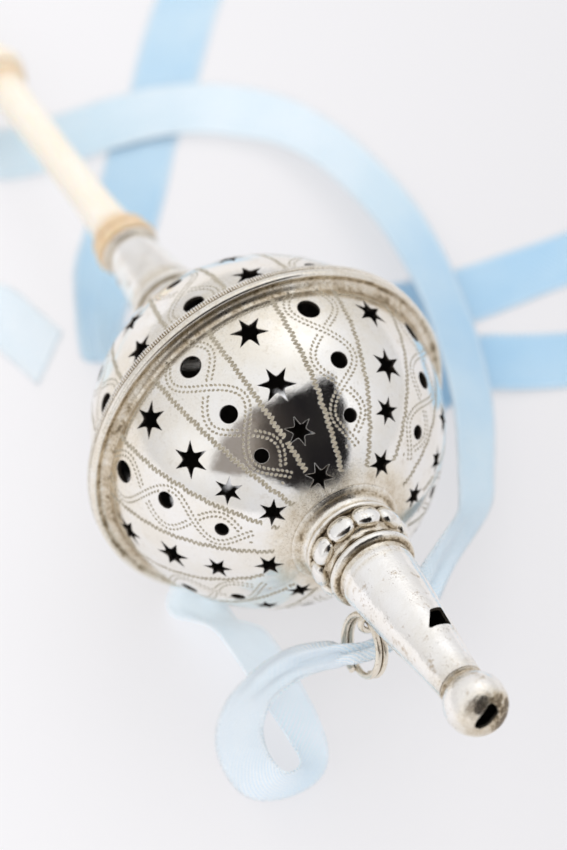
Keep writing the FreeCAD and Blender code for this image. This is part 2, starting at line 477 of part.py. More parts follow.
def handle_shaft():
    return turned([
        (0, -31.2), (TENON_R - 0.4, -31.2), (TENON_R, -31.7), (TENON_R, FERRULE_END_Z),
        (TENON_TIP_R, FERRULE_END_Z), (TENON_TIP_R, BONE_RING_END_Z), (3.05, BONE_RING_END_Z),
        (2.85, -45.8), (2.42, -58.0), (2.42, -68.0), (2.6, -83.0), (3.1, -83.6),
        (3.1, -85.0, 3.6, -84.3), (3.3, -85.3), (3.3, -88.3, 4.25, -86.8), (3.1, -88.6),
        (3.1, -90.0, 3.6, -89.3), (2.6, -90.6), (2.35, -96.0), (SHAFT_END_R, SHAFT_END_Z),
        (PEG_R, SHAFT_END_Z), (PEG_R, PEG_END_Z), (0, PEG_END_Z)]).cut(pin_rod(10))


def end_knob():
    return turned([
        (PEG_R, SHAFT_END_Z), (SHAFT_END_R, SHAFT_END_Z),
        (SHAFT_END_R, END_KNOB_Z + on_sphere(SHAFT_END_R, END_KNOB_R)),
        (0, END_KNOB_Z - END_KNOB_R, END_KNOB_R, END_KNOB_Z),
        (0, PEG_END_Z), (PEG_R, PEG_END_Z)])


def pellet(z):
    """Ball lying just clear of the shell's lower side."""
    r = on_sphere(z, BALL_BORE_R - PELLET_R - PELLET_GAP)
    return Part.makeSphere(PELLET_R, polar(r, z, 180.0))


def ribbon():
    left = [Vector(*row[:3]) for row in RIBBON]
    right = [Vector(*row[3:]) for row in RIBBON]
    last = len(RIBBON) - 1
    sections = []
    for i, (a, b) in enumerate(zip(left, right)):
        before, after = max(0, i - 1), min(last, i + 1)
        along = unit((left[after] + right[after]) - (left[before] + right[before]))
        half = unit(along.cross(unit(a - b))) * (RIBBON_T / 2)
        sections.append(Part.makePolygon([a + half, b + half, b - half, a - half, a + half]))
    return outward(Part.makeLoft(sections, True, True))


# ---- build, lay down and write ----
def export(name, shape):
    if shape.ShapeType == "Compound" and len(shape.Solids) == 1:
        shape = shape.Solids[0]
    shape.exportStep("parts/%s.step" % name)


pieces = {
    "front_shell": front_shell(), "rear_shell": rear_shell(), "milled_band": milled_band(),
    "whistle_tube": whistle_tube(), "whistle_disc": bore_plug(DISC_Z0, DISC_Z1),
    "fipple_block": fipple_block(), "mouth_knob": mouth_knob(),
    "ring_lug": ring_lug(), "suspension_ring": suspension_ring(),
    "ferrule": ferrule(), "bone_ring": bone_ring(), "handle_shaft": handle_shaft(),
    "end_knob": end_knob(), "handle_pin": pin_rod(PIN_HALF),
}
collar = {
    "neck": neck(), "bead_band": bead_band(),
    "inner_ring": half_round_ring(INNER_RING_Z0, BEAD_BAND_Z0, 5.6, INNER_RING_R, INNER_RING_Z),
    "outer_ring": half_round_ring(OUTER_RING_Z0, TUBE_Z0, 4.95, OUTER_RING_R, OUTER_RING_Z),
}
for name, shape in collar.items():
    pieces["front_" + name] = shape
    pieces["rear_" + name] = mirrored(shape)
for number, z in enumerate(PELLET_Z, 1):
    pieces["pellet_%d" % number] = pellet(z)

tilt_cos, tilt_sin = math.cos(math.radians(REST_TILT)), math.sin(math.radians(REST_TILT))
LAY_DOWN = FreeCAD.Placement(FreeCAD.Matrix(
    -tilt_sin, 0, tilt_cos, 0,
    0, -1, 0, 0,
    tilt_cos, 0, tilt_sin, 0,
    0, 0, 0, 1))

os.makedirs("parts", exist_ok=True)
for name, shape in pieces.items():
    shape.Placement = LAY_DOWN.multiply(shape.Placement)
    export(name, shape)
export("ribbon", ribbon())
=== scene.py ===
import math

import bpy
import numpy as np
from mathutils import Matrix, Vector


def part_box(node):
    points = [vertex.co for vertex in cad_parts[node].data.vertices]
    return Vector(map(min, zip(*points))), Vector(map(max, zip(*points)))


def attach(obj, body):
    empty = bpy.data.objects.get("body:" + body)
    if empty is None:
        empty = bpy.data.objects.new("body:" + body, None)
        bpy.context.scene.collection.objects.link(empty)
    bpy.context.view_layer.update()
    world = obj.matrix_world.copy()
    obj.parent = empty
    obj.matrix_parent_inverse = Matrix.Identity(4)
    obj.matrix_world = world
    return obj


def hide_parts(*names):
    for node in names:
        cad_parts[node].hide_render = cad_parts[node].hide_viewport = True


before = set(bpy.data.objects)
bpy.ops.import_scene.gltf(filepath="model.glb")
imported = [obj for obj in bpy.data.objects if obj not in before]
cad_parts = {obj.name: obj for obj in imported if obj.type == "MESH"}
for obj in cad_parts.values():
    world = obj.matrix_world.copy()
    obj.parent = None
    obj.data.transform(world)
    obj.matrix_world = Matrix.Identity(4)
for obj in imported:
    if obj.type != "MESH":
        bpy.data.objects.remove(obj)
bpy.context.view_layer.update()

# Silver rattle and whistle with a bone handle and a ribbon.  Shapes are drawn
# in millimetres about the rattle's own axis (local Z towards the mouthpiece,
# local X the upper side) and laid down in the row frame, in metres.

MM = 0.001
TILT = math.radians(10.8)
LAY = np.array([(-math.sin(TILT), 0, math.cos(TILT)),
                (0, -1, 0),
                (math.cos(TILT), 0, math.sin(TILT))])      # rows: local axes in the row frame
TABLE_Z = -23.67 * MM

BALL_R, BALL_WALL, RIM_R = 22.0, 0.5, 24.1
RI = BALL_R - BALL_WALL
BAND_R = 23.72
POLE_HOLE_R = 4.6
STAR_LAT = (12.0, 31.9, 47.5, 63.5)
STAR_R = (2.35, 2.35, 1.85, 1.85)
STAR_TURN = (-26.0, -26.0, 23.0, 23.0)
STAR_WAIST = 0.44
DISC_LAT = (10.6, 30.6, 48.4)
DISC_R = (1.42, 1.12, 0.90)
FRONT_STAR_LON, REAR_STAR_LON, GORES = 6.75, -6.2, 8
NECK_FOOT_R, SLEEVE_R, SLEEVE_BORE = 7.1, 4.3, 3.5
BEAD_Z, BEAD_R, BEADS, BEAD_TURN = 24.9, 6.45, 10, -12.0
BEAD_SIZE = (1.15, 1.85, 1.50)
TUBE_Z0 = 28.8
TUBE_PROFILE = ((28.8, 4.75), (30.5, 4.68), (36.0, 4.20), (42.0, 3.58), (50.0, 2.74))
TUBE_WALL = 0.45
WINDOW_LON = -28.0
KNOB_Z, KNOB_R, KNOB_WALL = 53.45, 3.8, 0.5
LUG_LON, LUG_Z, LUG_EYE_R, LUG_MAJOR, LUG_MINOR = 159.0, 30.9, 5.65, 1.40, 0.42
RING_LEAN, RING_MEAN_R, RING_WIRE_R, RING_PITCH, RING_TURNS = 162.0, 3.725, 0.41, 0.84, 1.94
TENON_R, TENON_TIP_R, SHAFT_END_Z, END_KNOB_Z, END_KNOB_R = 2.85, 2.1, -101.6, -105.0, 3.98
PIN_Z, PIN_R = -36.0, 0.5
PELLET_R, PELLET_Z = 1.6, (-7.6, -3.0, 1.6, 6.2)
RIBBON_T = 0.26
RIBBON_W = 9.6

FRONT_STAR_AT = {
    (0, -1): (12.8, -37.8), (1, -1): (32.6, -38.7), (2, -1): (47.7, -37.5), (3, -1): (64.2, -39.5),
    (0, 0): (12.9, 7.5), (1, 0): (32.7, 8.9), (2, 0): (48.7, 10.1), (3, 0): (64.4, 12.1),
    (0, 1): (12.1, 50.7), (1, 1): (31.4, 51.8), (2, 1): (46.5, 53.7), (3, 1): (61.9, 53.1),
    (0, 2): (12.0, 96.5), (1, 2): (31.2, 96.6), (2, 2): (46.8, 99.4), (3, 2): (63.5, 99.6),
    (2, -2): (46.3, -88.5), (3, -2): (62.5, -91.0)}
FRONT_DISC_AT = {
    (0, 0): (11.1, 29.1), (1, 0): (31.6, 29.5), (2, 0): (47.9, 31.2),
    (0, -1): (11.7, -14.3), (1, -1): (31.5, -17.3), (2, -1): (49.3, -16.4),
    (0, 1): (10.1, 72.5), (1, 1): (28.9, 71.5), (2, 1): (48.9, 74.1),
    (0, -2): (11.0, -60.0), (1, -2): (30.7, -60.6), (2, -2): (49.2, -61.8),
    (1, 2): (27.9, 120.4), (2, 2): (45.5, 125.0)}
REAR_STAR_AT = {
    (0, 1): (10.2, 38.9), (0, 0): (11.6, -4.7), (1, 1): (30.6, 37.6), (1, 0): (32.6, -7.2),
    (1, 4): (35.5, 178.8), (1, -3): (30.2, -138.2)}
REAR_DISC_AT = {
    (0, 1): (10.8, 61.0), (0, 0): (10.0, 16.2), (1, 0): (32.6, 16.4), (0, -3): (8.6, -121.6)}

# ribbon edges in the row frame, left edge then right edge along its length
RIBBON = [
    (-99.03,46.18,-23.42, -103.37,37.61,-23.42), (-94.83,41.86,-23.42, -99.17,33.30,-23.42), (-90.43,37.79,-23.42, -94.77,29.23,-23.42),
    (-85.76,33.98,-23.42, -90.15,25.45,-23.42), (-81.06,30.41,-23.42, -85.26,21.78,-23.42), (-76.48,27.01,-23.42, -80.11,18.13,-23.42),
    (-72.00,23.26,-23.42, -75.35,14.23,-23.42), (-67.35,19.30,-23.42, -70.88,10.37,-23.42), (-62.02,15.64,-23.42, -66.66,7.27,-23.42),
    (-56.90,11.88,-23.42, -62.17,3.84,-23.42), (-51.98,7.92,-23.28, -57.78,0.23,-23.42), (-47.62,4.41,-22.73, -54.23,-2.45,-23.42),
    (-44.08,1.43,-22.11, -51.02,-4.08,-23.42), (-40.77,-0.98,-21.38, -47.80,-5.37,-23.42), (-37.28,-2.80,-20.45, -44.14,-6.76,-23.42),
    (-34.64,-3.91,-19.70, -41.30,-7.76,-23.42), (-33.06,-4.42,-19.32, -39.74,-8.24,-23.42), (-32.02,-4.59,-19.18, -38.83,-8.41,-23.42),
    (-31.26,-4.44,-19.25, -38.30,-8.25,-23.42), (-30.62,-3.95,-19.53, -37.95,-7.75,-23.42), (-30.05,-3.08,-20.01, -37.67,-6.87,-23.42),
    (-29.47,-1.67,-20.76, -37.43,-5.42,-23.42), (-28.81,0.48,-21.79, -37.16,-3.18,-23.42), (-28.02,3.52,-22.93, -36.81,0.10,-23.42),
    (-27.03,6.97,-23.40, -36.22,4.23,-23.42), (-25.89,10.71,-23.42, -35.36,9.46,-23.42), (-24.82,15.24,-23.42, -34.40,15.55,-23.42),
    (-24.02,21.12,-23.42, -33.64,21.55,-23.42), (-23.28,27.29,-23.42, -32.89,27.32,-23.42), (-21.95,32.95,-23.42, -31.59,33.39,-23.42),
    (-20.69,38.05,-23.42, -30.26,39.25,-23.42), (-20.34,42.82,-23.42, -29.65,44.94,-23.42), (-20.27,48.16,-23.42, -29.25,51.58,-23.42),
    (-20.35,53.21,-23.42, -28.83,58.10,-23.42), (-20.14,57.72,-23.38, -28.74,61.36,-23.38), (-19.37,61.83,-23.24, -28.72,63.35,-23.24),
    (-18.62,64.65,-23.12, -28.26,66.16,-23.12), (-18.02,66.54,-23.02, -27.29,69.24,-23.02), (-17.50,67.79,-22.94, -26.19,71.79,-22.94),
    (-17.02,68.59,-22.89, -25.09,73.67,-22.89), (-16.53,69.12,-22.84, -23.94,75.05,-22.84), (-15.97,69.47,-22.80, -22.58,76.04,-22.80),
    (-15.33,69.73,-22.76, -20.87,76.86,-22.76), (-14.58,69.94,-22.72, -18.72,77.58,-22.72), (-13.78,70.12,-22.69, -16.30,78.23,-22.69),
    (-12.99,70.27,-22.66, -13.83,78.75,-22.66), (-12.26,70.36,-22.64, -11.55,79.13,-22.64), (-11.64,70.40,-22.63, -9.64,79.32,-22.63),
    (-11.11,70.34,-22.63, -8.02,79.26,-22.63), (-10.62,70.13,-22.64, -6.56,78.88,-22.64), (-10.16,69.70,-22.67, -5.18,78.09,-22.67),
    (-9.70,69.04,-22.71, -3.85,76.86,-22.71), (-9.25,68.17,-22.76, -2.52,75.25,-22.76), (-8.81,67.08,-22.82, -1.25,73.24,-22.82),
    (-8.44,65.84,-22.89, -0.16,70.96,-22.89), (-8.19,64.54,-22.96, 0.57,68.60,-22.96), (-8.12,63.26,-23.03, 0.87,66.31,-23.03),
    (-8.27,61.98,-23.09, 0.74,63.97,-23.09), (-8.70,60.57,-23.16, 0.24,61.37,-23.16), (-9.44,58.91,-23.24, -0.63,58.32,-23.24),
    (-10.59,56.82,-23.32, -1.95,54.61,-23.32), (-12.11,54.02,-23.39, -3.68,50.15,-23.39), (-13.80,50.02,-23.30, -5.48,45.12,-23.30),
    (-15.59,45.28,-22.92, -7.14,40.71,-22.92), (-17.22,41.79,-22.77, -8.40,38.00,-22.77), (-17.89,38.68,-22.73, -8.87,35.50,-22.73),
    (-17.75,34.51,-22.81, -8.67,31.68,-22.81), (-17.08,28.52,-23.02, -7.89,25.76,-23.02), (-15.47,22.91,-23.25, -6.34,19.90,-23.25),
    (-13.27,17.42,-23.41, -4.27,14.05,-23.41), (-11.51,11.70,-23.42, -2.55,8.26,-23.42), (-9.73,6.04,-23.42, -0.82,2.40,-23.42),
    (-7.91,1.70,-23.42, 0.82,-3.64,-23.42), (-6.49,-1.12,-23.42, 2.02,-7.20,-23.42), (-5.28,-3.40,-23.42, 3.03,-8.57,-23.41),
    (-4.15,-5.60,-23.40, 4.02,-8.95,-23.38), (-3.03,-7.84,-23.38, 5.03,-9.05,-23.32), (-1.91,-10.00,-23.33, 6.04,-9.08,-23.24),
    (-0.75,-12.04,-23.27, 7.01,-9.11,-23.15), (0.49,-13.87,-23.20, 7.95,-9.13,-23.07), (1.81,-15.26,-23.08, 8.75,-9.14,-23.00),
    (3.21,-16.11,-22.84, 9.40,-9.09,-22.97), (4.72,-16.37,-22.32, 9.87,-8.93,-22.98), (6.39,-16.06,-21.32, 10.19,-8.56,-23.06),
    (8.18,-15.43,-19.96, 10.43,-8.01,-23.17), (9.97,-14.74,-18.64, 10.70,-7.43,-23.29), (11.67,-14.19,-17.72, 11.10,-6.95,-23.37),
    (13.39,-13.84,-17.31, 11.93,-6.61,-23.41), (15.46,-13.61,-17.22, 13.74,-6.34,-23.42), (18.99,-13.41,-17.24, 17.87,-6.13,-23.42),
    (25.03,-13.31,-17.02, 23.75,-6.28,-23.42), (29.23,-13.35,-16.50, 28.28,-6.79,-23.42), (31.73,-13.44,-15.95, 30.95,-7.49,-23.42),
    (33.58,-13.51,-15.46, 32.63,-8.28,-23.42), (34.99,-13.61,-15.06, 33.75,-9.15,-23.42), (36.10,-13.84,-14.73, 34.57,-10.24,-23.42),
    (36.96,-14.27,-14.45, 35.13,-11.61,-23.42), (37.47,-14.94,-14.28, 35.41,-13.26,-23.42), (37.58,-15.68,-14.20, 35.37,-15.02,-23.42),
    (37.32,-16.31,-14.22, 35.01,-16.74,-23.42), (36.68,-16.69,-14.35, 34.32,-18.29,-23.42), (35.70,-16.81,-14.59, 33.28,-19.43,-23.42),
    (34.62,-16.81,-14.90, 31.98,-20.11,-23.42), (33.57,-16.72,-15.24, 30.49,-20.39,-23.42), (32.50,-16.54,-15.58, 28.81,-20.43,-23.42),
    (31.37,-16.27,-15.90, 27.08,-20.29,-23.42), (30.26,-15.93,-16.14, 25.49,-19.96,-23.40), (29.34,-15.52,-16.19, 24.18,-19.44,-23.26),
    (28.68,-15.08,-15.93, 23.13,-18.81,-22.87), (28.25,-14.59,-15.28, 22.33,-18.09,-22.08), (28.01,-13.99,-14.24, 21.78,-17.20,-20.82),
    (27.89,-13.19,-13.07, 21.44,-16.11,-19.32), (27.88,-12.06,-11.97, 21.34,-14.74,-17.64), (27.96,-10.72,-11.03, 21.43,-13.27,-15.81),
    (28.24,-9.39,-10.32, 21.92,-11.91,-13.88), (28.73,-8.27,-9.67, 22.79,-10.67,-11.98), (29.42,-7.48,-8.86, 23.87,-9.49,-10.21),
    (30.29,-6.98,-7.83, 25.14,-8.38,-8.55), (31.11,-6.69,-6.75, 26.34,-7.57,-7.12), (31.78,-6.53,-5.74, 27.36,-7.09,-5.91),
    (32.41,-6.39,-4.68, 28.40,-6.69,-4.72), (32.93,-6.20,-3.77, 29.36,-6.29,-3.74), (33.24,-5.79,-3.27, 30.11,-5.73,-3.31),
    (33.37,-5.00,-3.22, 30.59,-4.93,-3.44), (33.41,-3.90,-3.40, 30.85,-3.91,-3.86), (33.43,-2.60,-3.54, 30.92,-2.77,-4.24),
    (33.38,-1.16,-3.58, 30.89,-1.66,-4.35), (33.19,0.38,-3.68, 30.78,-0.63,-4.14), (32.82,1.99,-3.91, 30.61,0.32,-3.62),
    (32.28,3.58,-4.27, 30.36,1.22,-2.94), (31.62,5.08,-4.70, 30.05,2.10,-2.31), (30.85,6.45,-5.18, 29.64,2.99,-1.82),
    (29.82,7.79,-5.78, 29.02,3.98,-1.49), (28.31,9.35,-6.57, 28.06,5.23,-1.28), (25.94,11.59,-7.61, 26.62,7.04,-1.33),
    (22.49,15.09,-8.99, 24.23,10.22,-1.76), (19.18,19.14,-10.31, 21.25,14.19,-2.64), (16.69,22.33,-10.91, 19.22,16.27,-4.04),
    (14.09,24.72,-11.55, 16.89,17.95,-5.33), (9.88,27.20,-12.78, 12.50,20.30,-6.65), (4.89,30.10,-14.09, 7.24,23.12,-7.93),
    (-0.24,32.84,-15.25, 1.87,25.69,-9.21), (-5.61,35.25,-16.33, -3.56,27.91,-10.50), (-11.26,37.28,-17.38, -9.03,29.83,-11.75),
    (-16.96,39.06,-18.35, -14.63,31.53,-12.87), (-22.76,40.61,-19.24, -20.28,32.97,-13.97), (-28.71,41.97,-20.01, -25.92,34.15,-15.18),
    (-34.78,42.87,-20.65, -31.59,34.92,-16.34), (-40.95,43.42,-21.21, -37.28,35.40,-17.44), (-47.08,43.32,-21.84, -43.06,35.31,-18.38),
    (-53.19,42.67,-22.41, -48.81,34.74,-19.24), (-58.33,41.70,-22.60, -53.35,33.92,-20.06), (-62.40,40.36,-22.67, -56.79,32.85,-20.77),
    (-65.63,38.85,-22.68, -59.47,31.63,-21.31), (-68.37,36.92,-22.56, -61.73,30.05,-21.76), (-71.06,34.24,-22.37, -63.91,27.86,-22.15),
    (-73.71,30.96,-22.34, -66.00,25.25,-22.37), (-75.97,27.47,-22.45, -67.75,22.51,-22.48), (-77.56,23.85,-22.51, -68.96,19.61,-22.52),
    (-78.73,19.50,-22.52, -69.83,15.92,-22.52), (-79.51,13.90,-22.53, -70.36,11.01,-22.53), (-79.88,7.61,-22.60, -70.57,5.29,-22.60),
    (-80.40,1.83,-22.75, -71.06,-0.35,-22.75), (-80.99,-1.19,-22.81, -71.73,-3.64,-22.81), (-81.93,-3.05,-22.82, -72.88,-6.03,-22.82),
    (-83.47,-4.59,-22.82, -74.84,-8.35,-22.82), (-85.48,-6.17,-22.82, -77.37,-10.80,-22.82), (-87.32,-7.80,-22.82, -79.54,-13.08,-22.82),
    (-88.52,-9.59,-22.82, -80.70,-15.02,-22.82), (-89.23,-11.87,-22.82, -81.10,-16.84,-22.82), (-89.76,-14.96,-22.82, -81.21,-18.67,-22.82),
    (-90.18,-18.54,-22.82, -81.28,-20.43,-22.82), (-90.46,-21.85,-22.82, -81.32,-21.92,-22.82), (-90.57,-24.50,-22.82, -81.32,-23.09,-22.82),
    (-90.41,-26.64,-22.82, -81.21,-24.06,-22.82), (-89.88,-28.59,-22.81, -80.91,-24.96,-22.81), (-88.92,-30.49,-22.80, -80.39,-25.83,-22.80),
    (-87.57,-32.35,-22.78, -79.65,-26.67,-22.78), (-85.93,-34.10,-22.77, -78.75,-27.45,-22.77), (-84.08,-35.60,-22.75, -77.75,-28.12,-22.75),
    (-82.14,-36.78,-22.73, -76.71,-28.64,-22.73), (-80.18,-37.48,-22.73, -75.68,-28.94,-22.73), (-78.13,-37.75,-22.73, -74.64,-29.04,-22.73),
    (-75.78,-37.70,-22.75, -73.52,-28.93,-22.75), (-72.95,-37.44,-22.80, -72.22,-28.64,-22.80), (-69.70,-37.01,-22.87, -70.70,-28.16,-22.87),
    (-66.36,-36.41,-22.96, -69.00,-27.52,-22.96), (-63.30,-35.54,-23.06, -67.07,-26.65,-23.06), (-60.34,-33.98,-23.19, -64.71,-25.18,-23.19),
    (-57.19,-31.33,-23.34, -61.85,-22.80,-23.34), (-54.30,-28.22,-23.42, -59.31,-20.03,-23.42), (-52.01,-24.72,-23.42, -57.57,-16.96,-23.42),
    (-50.21,-21.64,-23.42, -56.25,-14.28,-23.42), (-48.58,-19.67,-23.42, -54.97,-12.56,-23.42), (-46.54,-18.43,-23.42, -53.19,-11.48,-23.42),
    (-42.92,-17.34,-23.42, -49.71,-10.52,-23.42), (-37.08,-15.67,-23.42, -43.92,-8.94,-23.42),
]


# ---- small geometry helpers ---------------------------------------------
def rad(a):
    return math.radians(a)


def lay(p):
    """Local millimetres -> row frame metres."""
    return np.asarray(p, float) @ LAY * MM


def unit(v):
    v = np.asarray(v, float)
    return v / np.linalg.norm(v, axis=-1, keepdims=True)


def cyl_pt(r, z, lon):
    return np.array((r * math.cos(rad(lon)), r * math.sin(rad(lon)), z))


def sph(lat, lon):
    lat, lon = np.radians(lat), np.radians(lon)
    return np.stack([np.cos(lat) * np.cos(lon), np.cos(lat) * np.sin(lon), np.sin(lat) + 0 * lon], -1)


def on_sphere(r, R):
    return math.sqrt(R * R - r * r)


def tube_r(profile, z):
    zs, rs = zip(*sorted(profile))
    return float(np.interp(z, zs, rs))


def arc(p0, pm, p1, n):
    """Points of the arc p0-pm-p1 without its first point."""
    (x0, y0), (x1, y1), (x2, y2) = p0, pm, p1
    d = 2 * (x0 * (y1 - y2) + x1 * (y2 - y0) + x2 * (y0 - y1))
    s0, s1, s2 = x0 * x0 + y0 * y0, x1 * x1 + y1 * y1, x2 * x2 + y2 * y2
    cx = (s0 * (y1 - y2) + s1 * (y2 - y0) + s2 * (y0 - y1)) / d
    cy = (s0 * (x2 - x1) + s1 * (x0 - x2) + s2 * (x1 - x0)) / d
    a0, am, a1 = (math.atan2(y - cy, x - cx) for x, y in (p0, pm, p1))
    r = math.hypot(x0 - cx, y0 - cy)
    span = (a1 - a0) % (2 * math.pi)
    if (am - a0) % (2 * math.pi) > span:
        span -= 2 * math.pi
    return [(cx + r * math.cos(a0 + span * k / n), cy + r * math.sin(a0 + span * k / n)) for k in range(1, n + 1)]


def path(items, n=12):
    """(r, z) ends a line, (r, z, rm, zm) or (r, z, rm, zm, steps) ends an arc."""
    out = [tuple(items[0])]
    for it in items[1:]:
        if len(it) == 2:
            out.append(tuple(it))
        else:
            out += arc(out[-1], it[2:4], it[:2], it[4] if len(it) > 4 else n)
    return out


def mirrored(prof):
    return [(r, -z) for r, z in prof]


def mesh_object(name, verts, faces, smooth=False):
    me = bpy.data.meshes.new(name)
    me.from_pydata([tuple(v) for v in verts], [], [tuple(f) for f in faces])
    me.update()
    if smooth:
        me.shade_smooth()
    ob = bpy.data.objects.new(name, me)
    bpy.context.scene.collection.objects.link(ob)
    return ob


def volume(verts, faces):
    v = np.asarray(verts, float)
    total = 0.0
    for f in faces:
        for k in range(1, len(f) - 1):
            total += float(np.dot(v[f[0]], np.cross(v[f[k]], v[f[k + 1]])))
    return total / 6


class Profile:
    """A closed section in the r-z half plane; knows its own smooth normals."""

    def __init__(self, pts, sharp=24.0):
        pts = [tuple(p) for p in pts]
        if math.dist(pts[0], pts[-1]) < 1e-7:
            pts = pts[:-1]
        area = sum(a[0] * b[1] - b[0] * a[1] for a, b in zip(pts, pts[1:] + pts[:1]))
        if area < 0:
            pts = pts[::-1]                      # anticlockwise: the normal is (dz, -dr)
        self.p = np.array(pts)
        n = len(pts)
        q = np.roll(self.p, -1, 0)
        d = q - self.p
        self.len = np.linalg.norm(d, axis=1)
        d = d / np.maximum(self.len, 1e-12)[:, None]
        flat = np.stack([d[:, 1], -d[:, 0]], 1)
        self.n0, self.n1 = flat.copy(), flat.copy()
        for k in range(n):
            j = (k - 1) % n
            if flat[j] @ flat[k] > math.cos(rad(sharp)) and min(self.len[j], self.len[k]) > 1e-9:
                w = flat[j] * self.len[k] + flat[k] * self.len[j]
                w = w / np.linalg.norm(w)
                self.n1[j] = w
                self.n0[k] = w
        self.q, self.flat = q, flat

    def nearest(self, rz):
        best = np.full(len(rz), 1e9)
        seg = np.zeros(len(rz), int)
        for k in range(len(self.p)):
            if max(self.p[k][0], self.q[k][0]) < 1e-9:
                continue
            dist, _ = self.to_seg(rz, np.full(len(rz), k))
            m = dist < best
            best[m], seg[m] = dist[m], k
        return best, seg

    def to_seg(self, rz, seg):
        a, b = self.p[seg], self.q[seg]
        d = b - a
        t = np.clip(((rz - a) * d).sum(1) / np.maximum((d * d).sum(1), 1e-18), 0, 1)
        return np.linalg.norm(rz - (a + d * t[:, None]), axis=1), t

    def normal(self, xyz, seg):
        rho = np.hypot(xyz[:, 0], xyz[:, 1])
        _, t = self.to_seg(np.stack([rho, xyz[:, 2]], 1), seg)
        n = self.n0[seg] * (1 - t[:, None]) + self.n1[seg] * t[:, None]
        c = xyz[:, :2] / np.maximum(rho, 1e-9)[:, None]
        return unit(np.stack([n[:, 0] * c[:, 0], n[:, 0] * c[:, 1], n[:, 1]], 1))


def lathe_mesh(prof, segs):
    verts, ring = [], []
    for r, z in prof.p:
        if r < 1e-9:
            ring.append([len(verts)] * segs)
            verts.append((0, 0, z))
        else:
            ring.append(list(range(len(verts), len(verts) + segs)))
            verts += [(r * math.cos(2 * math.pi * k / segs), r * math.sin(2 * math.pi * k / segs), z)
                      for k in range(segs)]
    faces = []
    n = len(ring)
    for i in range(n):
        a, b = ring[i], ring[(i + 1) % n]
        for k in range(segs):
            m = (k + 1) % segs
            f = [a[k], a[m], b[m], b[k]]
            f = [v for j, v in enumerate(f) if v != f[j - 1]]
            if len(f) >= 3:
                faces.append(f)
    return verts, faces


def carve(ob, cutters):
    """Cut the objects away, one after another, and drop them."""
    for c in cutters:
        m = ob.modifiers.new("cut", "BOOLEAN")
        m.operation, m.object = "DIFFERENCE", c
        m.solver = "MANIFOLD"
        dg = bpy.context.evaluated_depsgraph_get()
        me = bpy.data.meshes.new_from_object(ob.evaluated_get(dg))
        if len(me.polygons) <= len(ob.data.polygons) // 2:
            m.solver = "EXACT"
            dg.update()
            me = bpy.data.meshes.new_from_object(ob.evaluated_get(bpy.context.evaluated_depsgraph_get()))
        ob.modifiers.clear()
        old, ob.data = ob.data, me
        bpy.data.meshes.remove(old)
    for c in cutters:
        bpy.data.objects.remove(c, do_unlink=True)


def arrays(me):
    nv, nl, nf = len(me.vertices), len(me.loops), len(me.polygons)
    co, li = np.empty(nv * 3), np.empty(nl, int)
    ls, lt, fc, fn = np.empty(nf, int), np.empty(nf, int), np.empty(nf * 3), np.empty(nf * 3)
    me.vertices.foreach_get("co", co)
    me.loops.foreach_get("vertex_index", li)
    me.polygons.foreach_get("loop_start", ls)
    me.polygons.foreach_get("loop_total", lt)
    me.polygons.foreach_get("center", fc)
    me.polygons.foreach_get("normal", fn)
    return co.reshape(-1, 3), li, ls, lt, fc.reshape(-1, 3), fn.reshape(-1, 3)


def finish_lathe(ob, prof, classes, tarnish=None, tol=0.012):
    """Give a turned (and perhaps cut) mesh its exact normals, its materials
    and its wear attribute, then lay it down.  classes(centre, normal, seg, on)
    returns a material index per face."""
    me = ob.data
    co, li, ls, lt, fc, fn = arrays(me)
    rz = np.stack([np.hypot(fc[:, 0], fc[:, 1]), fc[:, 2]], 1)
    dist, seg = prof.nearest(rz)
    want = prof.normal(fc, seg)
    on = (dist < tol) & ((want * fn).sum(1) > 0.93)
    face_of = np.repeat(np.arange(len(ls)), lt)
    nrm = fn[face_of].copy()
    l_on = on[face_of]
    nrm[l_on] = prof.normal(co[li[l_on]], seg[face_of[l_on]])
    me.polygons.foreach_set("material_index", np.asarray(classes(fc, fn, seg, on), dtype=np.int32))
    if tarnish is not None:
        at = me.attributes.new("tarnish", "FLOAT", "POINT")
        at.data.foreach_set("value", np.asarray(tarnish(np.hypot(co[:, 0], co[:, 1]), co[:, 2]), dtype=np.float32))
    # local shape kept for textures that follow the turned form
    uv = me.attributes.new("axis_pos", "FLOAT_VECTOR", "POINT")
    ang = np.arctan2(co[:, 1], co[:, 0])
    uv.data.foreach_set("vector", np.stack([co[:, 0], co[:, 1], co[:, 2]], 1).astype(np.float32).ravel())
    me.vertices.foreach_set("co", lay(co).ravel())
    me.polygons.foreach_set("use_smooth", np.ones(len(ls), bool))
    me.update()
    me.normals_split_custom_set((nrm @ LAY).tolist())
    me.update()
    return ob


def set_mats(ob, *mats):
    ob.data.materials.clear()
    for m in mats:
        ob.data.materials.append(m)


def turned(name, items, mats, segs=160, cutters=(), classes=None, tarnish=None, sharp=24.0, n=12, flip=False):
    pts = path(items, n)
    if flip:
        pts = mirrored(pts)
    prof = Profile(pts, sharp)
    v, f = lathe_mesh(prof, segs)
    if volume(v, f) < 0:
        f = [x[::-1] for x in f]
    ob = mesh_object(name, v, f)
    if cutters:
        carve(ob, list(cutters))
    set_mats(ob, *mats)
    finish_lathe(ob, prof, classes or (lambda c, nn, s, on: np.where(on, 0, min(1, len(mats) - 1))), tarnish)
    return ob


def prism_geo(points, origin, ax, ay, az, d0, d1):
    n = len(points)
    lo = [origin + ax * u + ay * v + az * d0 for u, v in points]
    hi = [origin + ax * u + ay * v + az * d1 for u, v in points]
    faces = [list(range(n))[::-1], list(range(n, 2 * n))]
    faces += [[k, (k + 1) % n, n + (k + 1) % n, n + k] for k in range(n)]
    return lo + hi, faces


